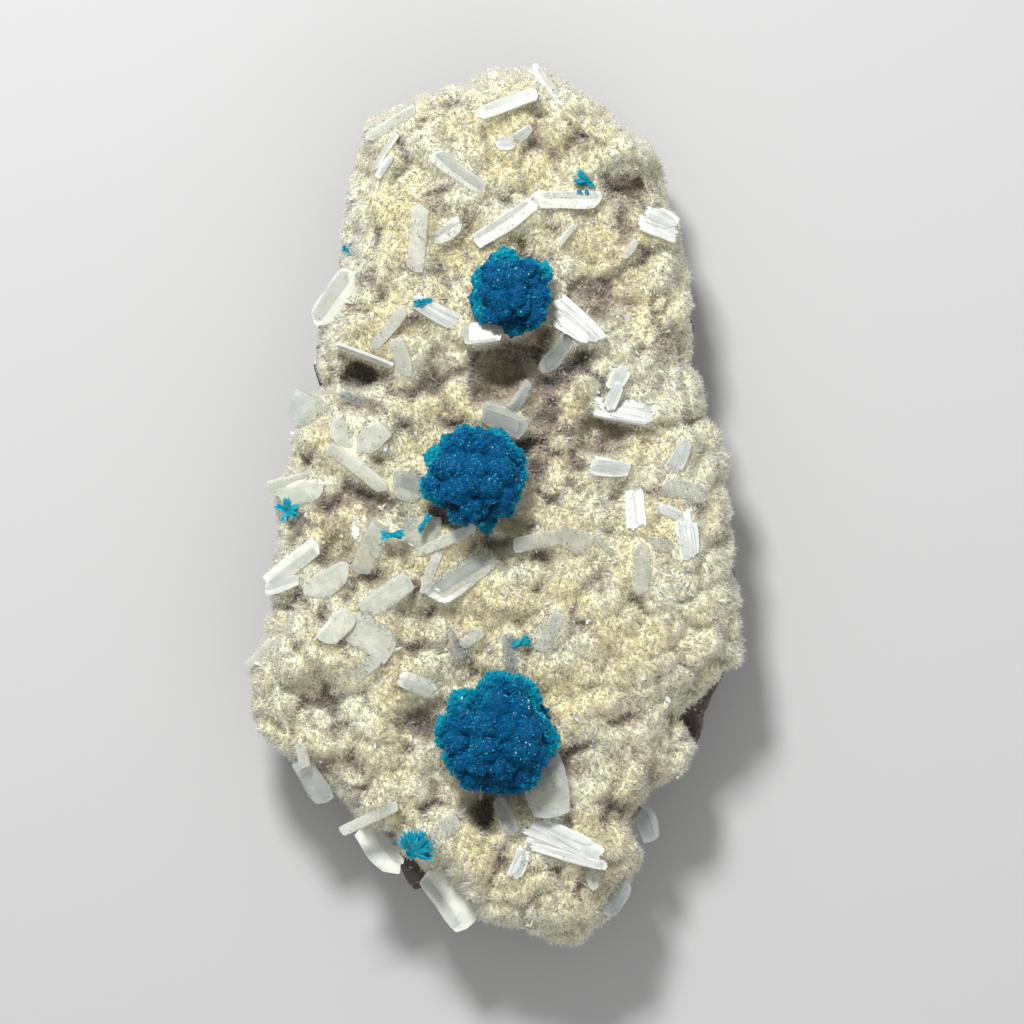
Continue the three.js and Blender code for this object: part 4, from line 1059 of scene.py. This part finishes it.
def makeRosette(name, seed):
    form = rosetteForm
    low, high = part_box(name)
    middle = np.array((low + high) / 2)
    radius = (high.x - low.x + high.y - low.y) / 4
    work = bmesh.new()
    bmesh.ops.create_icosphere(work, subdivisions=form["levels"], radius=1)
    core = meshFrom(work, "core")
    directions = pointArrays(core)[0]
    directions /= np.linalg.norm(directions, axis=1)[:, None]
    # the second power opens the creases between the domes
    lobes = np.array([lumps(d, form["lobeWidth"], seed) for d in directions]) ** 2
    knobs = np.array([lumps(d * radius, form["knobWidth"] * mm, seed + 5) for d in directions]) ** 2
    swell = np.array([rough(d, 0.8, seed + 2) for d in directions])
    lobed = form["core"] + form["lobeHeight"] * (lobes - form["lobeLevel"]) + form["swell"] * swell
    reach = radius * lobed + form["knobHeight"] * mm * (knobs - form["knobLevel"])
    reach = np.minimum(reach, form["most"] * radius)
    movePoints(core, middle + directions * reach[:, None])
    polar = directions[:, 2]
    patchy = np.array([rough(d, 0.45, seed + 8) for d in directions])
    foot = smoothStep(0.2 * patchy - directions[:, 1], 0.35, 0.8)  # painted shade: a darker blue on the side towards the specimen's foot, away from the key light
    # the rim's lighter teal paints light coming through the thin tips, less on the shaded side towards the
    # foot
    rim = smoothStep(np.abs(polar - 0.08) - 0.4 * patchy, 0.42, 0.0) * (1 - 0.5 * foot)
    setAttribute(core, "rim", rim)
    setAttribute(core, "tone", np.full(len(rim), 0.5))
    # darker blue in the creases between lobes and towards the foot: painted shade
    setAttribute(core, "hollow", np.clip(0.9 * (0.5 - lobes) + 0.5 * (0.5 - knobs) + 0.75 * foot, 0, 1))
    clustered = smoothStep(np.array([rough(d, 0.25, seed + 11) for d in directions]), -0.25, 0.4)
    places = {  # where each kind of crystal grows
        "fine": smoothStep(polar, -0.95, -0.8),
        "rim": smoothStep(polar, -0.7, -0.4) * smoothStep(polar, 0.75, 0.35),
        # painted glints: pale crystals in clusters, fewer on the shaded side towards the foot
        "painted_glints": clustered * smoothStep(polar, -0.3, 0.0) * (1 - 0.7 * foot),
    }
    grow = core.attributes.new("grow", "FLOAT", "POINT")
    parts = [core]
    for kind, share in places.items():
        setValues(grow, share)
        parts.append(growOn(core, form[kind], seed))
    for part in parts:
        second = int(part is parts[-1])  # the glints have the second material
        part.polygons.foreach_set("material_index", np.full(len(part.polygons), second, np.int32))
    mesh = joinMeshes(parts, name)
    print(name, "faces:", len(mesh.polygons))
    finishPiece(name + "_crystals", mesh, ["rosette", "glint"], [name])


for number, name in enumerate(rosettes):
    makeRosette(name, 7 * number + 1)
print("rosettes made")

# Sprays of blue blades: the middle headings of each fan and its half width, in degrees from +X,
# and how far in mm the blades' root lies from the middle of the CAD spray.
sprays = {
    "top": {"reach": 1.5, "root": (0.1, -0.2), "fans": [(126, 9), (138, 9), (180, 9), (192, 9)]},
    "left": {"reach": 1.5, "root": (0, 0), "fans": [(15, 20), (90, 20), (160, 20), (255, 20), (325, 20)]},
    "bowtie": {"reach": 1.4, "root": (0, 0), "fans": [(6, 26), (182, 24)]},
    "sheaf": {"reach": 1.3, "root": (0, 0), "fans": [(53, 24), (235, 16)]},
    "hook": {"reach": 1.1, "root": (0, 0), "fans": [(10, 20), (60, 14), (175, 14), (200, 14)]},
    "bottom": {"reach": 2.7, "root": (-0.1, -1.1),
               "fans": [(24, 22), (42, 22), (60, 22), (78, 22), (96, 22), (114, 22), (134, 16), (345, 14)]},
}
sprayBlades = {
    "seed": 600, "perFan": 22,
    "width": (0.28, 0.6), "flat": 0.6,  # in mm, and the thickness as a share of it
    "rise": (4, 46),  # in degrees
    "length": (0.5, 1.1),  # as a share of the spray's reach
    "foot": 0.25,  # height of the blades' root, as a share of the CAD spray's
}
tuftForm = {
    "seed": 700,
    "crystals": (14, 40),  # in a tuft, and more for each mm of its width
    "spread": 0.22,  # of their roots, as a share of the width
    "lean": (0.3, 0.7),  # spread of their headings, against the part that is upright
    "width": (0.1, 0.2), "length": (0.2, 0.5), "buried": 0.1,  # in mm
}
# Small blue tufts on the crust and the blades: x, y and the width of each.
blueTufts = [
    (9.0, 31.9, 0.5), (9.6, 32.0, 0.5), (10.1, 31.6, 0.5), (8.6, 31.2, 0.25), (9.3, 31.2, 0.25),
    (-15.0, 25.7, 1.5), (-14.6, 25.0, 0.8), (-1.2, -2.3, 0.9), (-0.6, -2.8, 0.6), (-7.3, 20.1, 0.5),
    (-6.8, 20.2, 0.4), (-7.6, 19.9, 0.4), (-6.4, 20.3, 0.3),
]


def crystalAt(gathered, root, heading, length, width, thick):
    # one prism pointing along heading from its root
    points, faces = crystalShapes["prism"]
    turn = heading.to_track_quat("Z", "X").to_matrix().to_4x4()
    turn.translation = root
    scaled = turn @ Matrix.Diagonal((width, thick, length, 1))
    gathered.add([scaled @ Vector(p) for p in points], faces, [(0, 0)] * len(points), [0] * len(points))


def tonedMesh(gathered, name, rng):
    mesh = gathered.mesh(name)
    count, pointsEach = len(mesh.vertices), len(crystalShapes["prism"][0])
    tones = np.repeat(rng.uniform(0, 1, count // pointsEach + 1), pointsEach)
    setAttribute(mesh, "tone", tones[:count])
    setAttribute(mesh, "rim", rng.uniform(0, 1, count))
    return mesh


def makeSprays():
    form = sprayBlades
    for number, (place, spray) in enumerate(sprays.items()):
        name = "cavansite_spray_" + place
        rng = np.random.default_rng(form["seed"] + number)
        low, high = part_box(name)
        east, north = spray["root"]
        root = Vector(((low.x + high.x) / 2 + east * mm, (low.y + high.y) / 2 + north * mm,
                       low.z + form["foot"] * (high.z - low.z)))
        gathered = Gathered()
        for middle, half in spray["fans"]:
            for _ in range(form["perFan"]):
                angle = radians(middle + half * rng.uniform(-1, 1))
                rise = radians(rng.uniform(*form["rise"]))
                heading = Vector((cos(angle) * cos(rise), sin(angle) * cos(rise), sin(rise)))
                length = spray["reach"] * mm * rng.uniform(*form["length"])
                width, thick = rng.uniform(*form["width"], 2) * mm
                crystalAt(gathered, root, heading, length, width, thick * form["flat"])
        finishPiece(name + "_crystals", tonedMesh(gathered, name, rng), "spray", [name])


def makeTufts():
    form = tuftForm
    rng = np.random.default_rng(form["seed"])
    ground = surfaceOf([n for n in nodes if n != "basalt_matrix"])
    gathered = Gathered()
    least, more = form["crystals"]
    slant, upright = form["lean"]
    for x, y, width in blueTufts:
        for _ in range(int(least + more * width)):
            off = rng.normal(0, width * form["spread"], 2)
            place = ground.ray_cast(Vector(((x + off[0]) * mm, (y + off[1]) * mm, above)), down)[0]
            if not place:
                continue
            heading = Vector((*(part / width + rng.normal(0, slant) for part in off), upright)).normalized()
            size = rng.uniform(*form["width"]) * mm
            length = rng.uniform(*form["length"]) * mm
            crystalAt(gathered, place - form["buried"] * mm * up, heading, length, size, size)
    finishPiece("cavansite_tufts", tonedMesh(gathered, "tufts", rng), "spray")


makeSprays()
makeTufts()
print("sprays made")

basaltForm = {  # all in mm
    "voxel": 0.5,
    "breakWidth": 3.2, "breakHeight": 0.55,
    "gritWidth": 0.8, "gritHeight": 0.16,
    "holeWidth": 2.4, "holeDepth": 0.7,
    "backFlat": 0.35,  # height under which the relief fades, as the back is flat
    "noseX": -8.2, "noseY": -33.0, "noseWidth": 1.7, "noseReach": 3.2, "noseFade": 1.0,
}
breakLevel, holeLevel = 0.6, 0.8  # of the lumps: where a break is level, and where a hole starts


def makeBasalt():
    form = {key: value * mm for key, value in basaltForm.items()}
    mesh = remeshed(mergedMesh("basalt_matrix"), form["voxel"], 1)
    places, normals = pointArrays(mesh)
    free = np.clip(places[:, 2] / form["backFlat"], 0, 1) * np.clip(normals[:, 2] + 1, 0, 1)
    relief = np.array([form["breakHeight"] * (lumps(p, form["breakWidth"]) - breakLevel)
                       + form["gritHeight"] * rough(p, form["gritWidth"])
                       - form["holeDepth"] * max(0.0, lumps(p, form["holeWidth"], 9.0) - holeLevel) * 5
                       for p in places])
    places += normals * (relief * free)[:, None]
    places[:, 2] = np.maximum(places[:, 2], 0)
    # a nose of bare rock between the two blades at the foot
    beside = np.exp(-((places[:, 0] - form["noseX"]) / form["noseWidth"]) ** 2)
    beyond = smoothStep(-places[:, 1], -form["noseY"], form["noseFade"] - form["noseY"])
    places[:, 1] -= form["noseReach"] * beside * beyond
    movePoints(mesh, places)
    print("basalt:", len(mesh.polygons), "faces")
    finishPiece("basalt_rock", mesh, "basalt", ["basalt_matrix"])


makeBasalt()

scene.view_settings.view_transform = "Standard"
studio = {
    "lens": 200, "sensor": 36, "width": 102.4, "aim": (1.85, -0.9, 16.0),  # width and aim in mm
    "key": {"towards": (-0.2, 0.6, 0.82), "distance": 0.45, "size": 0.08, "power": 2.6},
    "fill": {"towards": (0.4, -0.7, 0.8), "distance": 0.6, "size": 0.5, "power": 0.65},
    "sky": 0.53,
    "floor": 0.44, "floorSize": 2, "floorDrop": 0.0002,  # grey, half size and depth in metres
    "clip": (0.01, 20),
}


def areaLight(name, towards, distance, size, power):
    light = bpy.data.lights.new(name, "AREA")
    light.size = size
    light.energy = power
    lamp = bpy.data.objects.new(name, light)
    scene.collection.objects.link(lamp)
    heading = Vector(towards).normalized()
    lamp.location = heading * distance
    lamp.rotation_euler = heading.to_track_quat("Z", "Y").to_euler()


def makeStudio():
    half = studio["floorSize"]
    corners = [(-half, -half, 0), (half, -half, 0), (half, half, 0), (-half, half, 0)]
    floor = objectOf(meshOf(corners, [(0, 1, 2, 3)], "floor"))
    paper = Finish("pale floor", Roughness=0.9, Base_Color=(studio["floor"],) * 3 + (1,))
    floor.data.materials.append(paper.material)
    floor.location.z = -studio["floorDrop"]
    for name in ("key", "fill"):
        areaLight(name, **studio[name])
    world = bpy.data.worlds.new("studio")
    world.use_nodes = True
    sky = next(n for n in world.node_tree.nodes if n.type == "BACKGROUND")
    sky.inputs["Color"].default_value = (1, 1, 1, 1)
    sky.inputs["Strength"].default_value = studio["sky"]
    scene.world = world
    camera = bpy.data.cameras.new("camera")
    camera.lens, camera.sensor_width = studio["lens"], studio["sensor"]
    camera.clip_start, camera.clip_end = studio["clip"]
    eye = bpy.data.objects.new("camera", camera)
    aim = Vector(studio["aim"]) * mm
    distance = studio["width"] * mm * studio["lens"] / studio["sensor"]
    eye.location = aim + distance * up
    scene.collection.objects.link(eye)
    scene.camera = eye


makeStudio()
print("studio made")
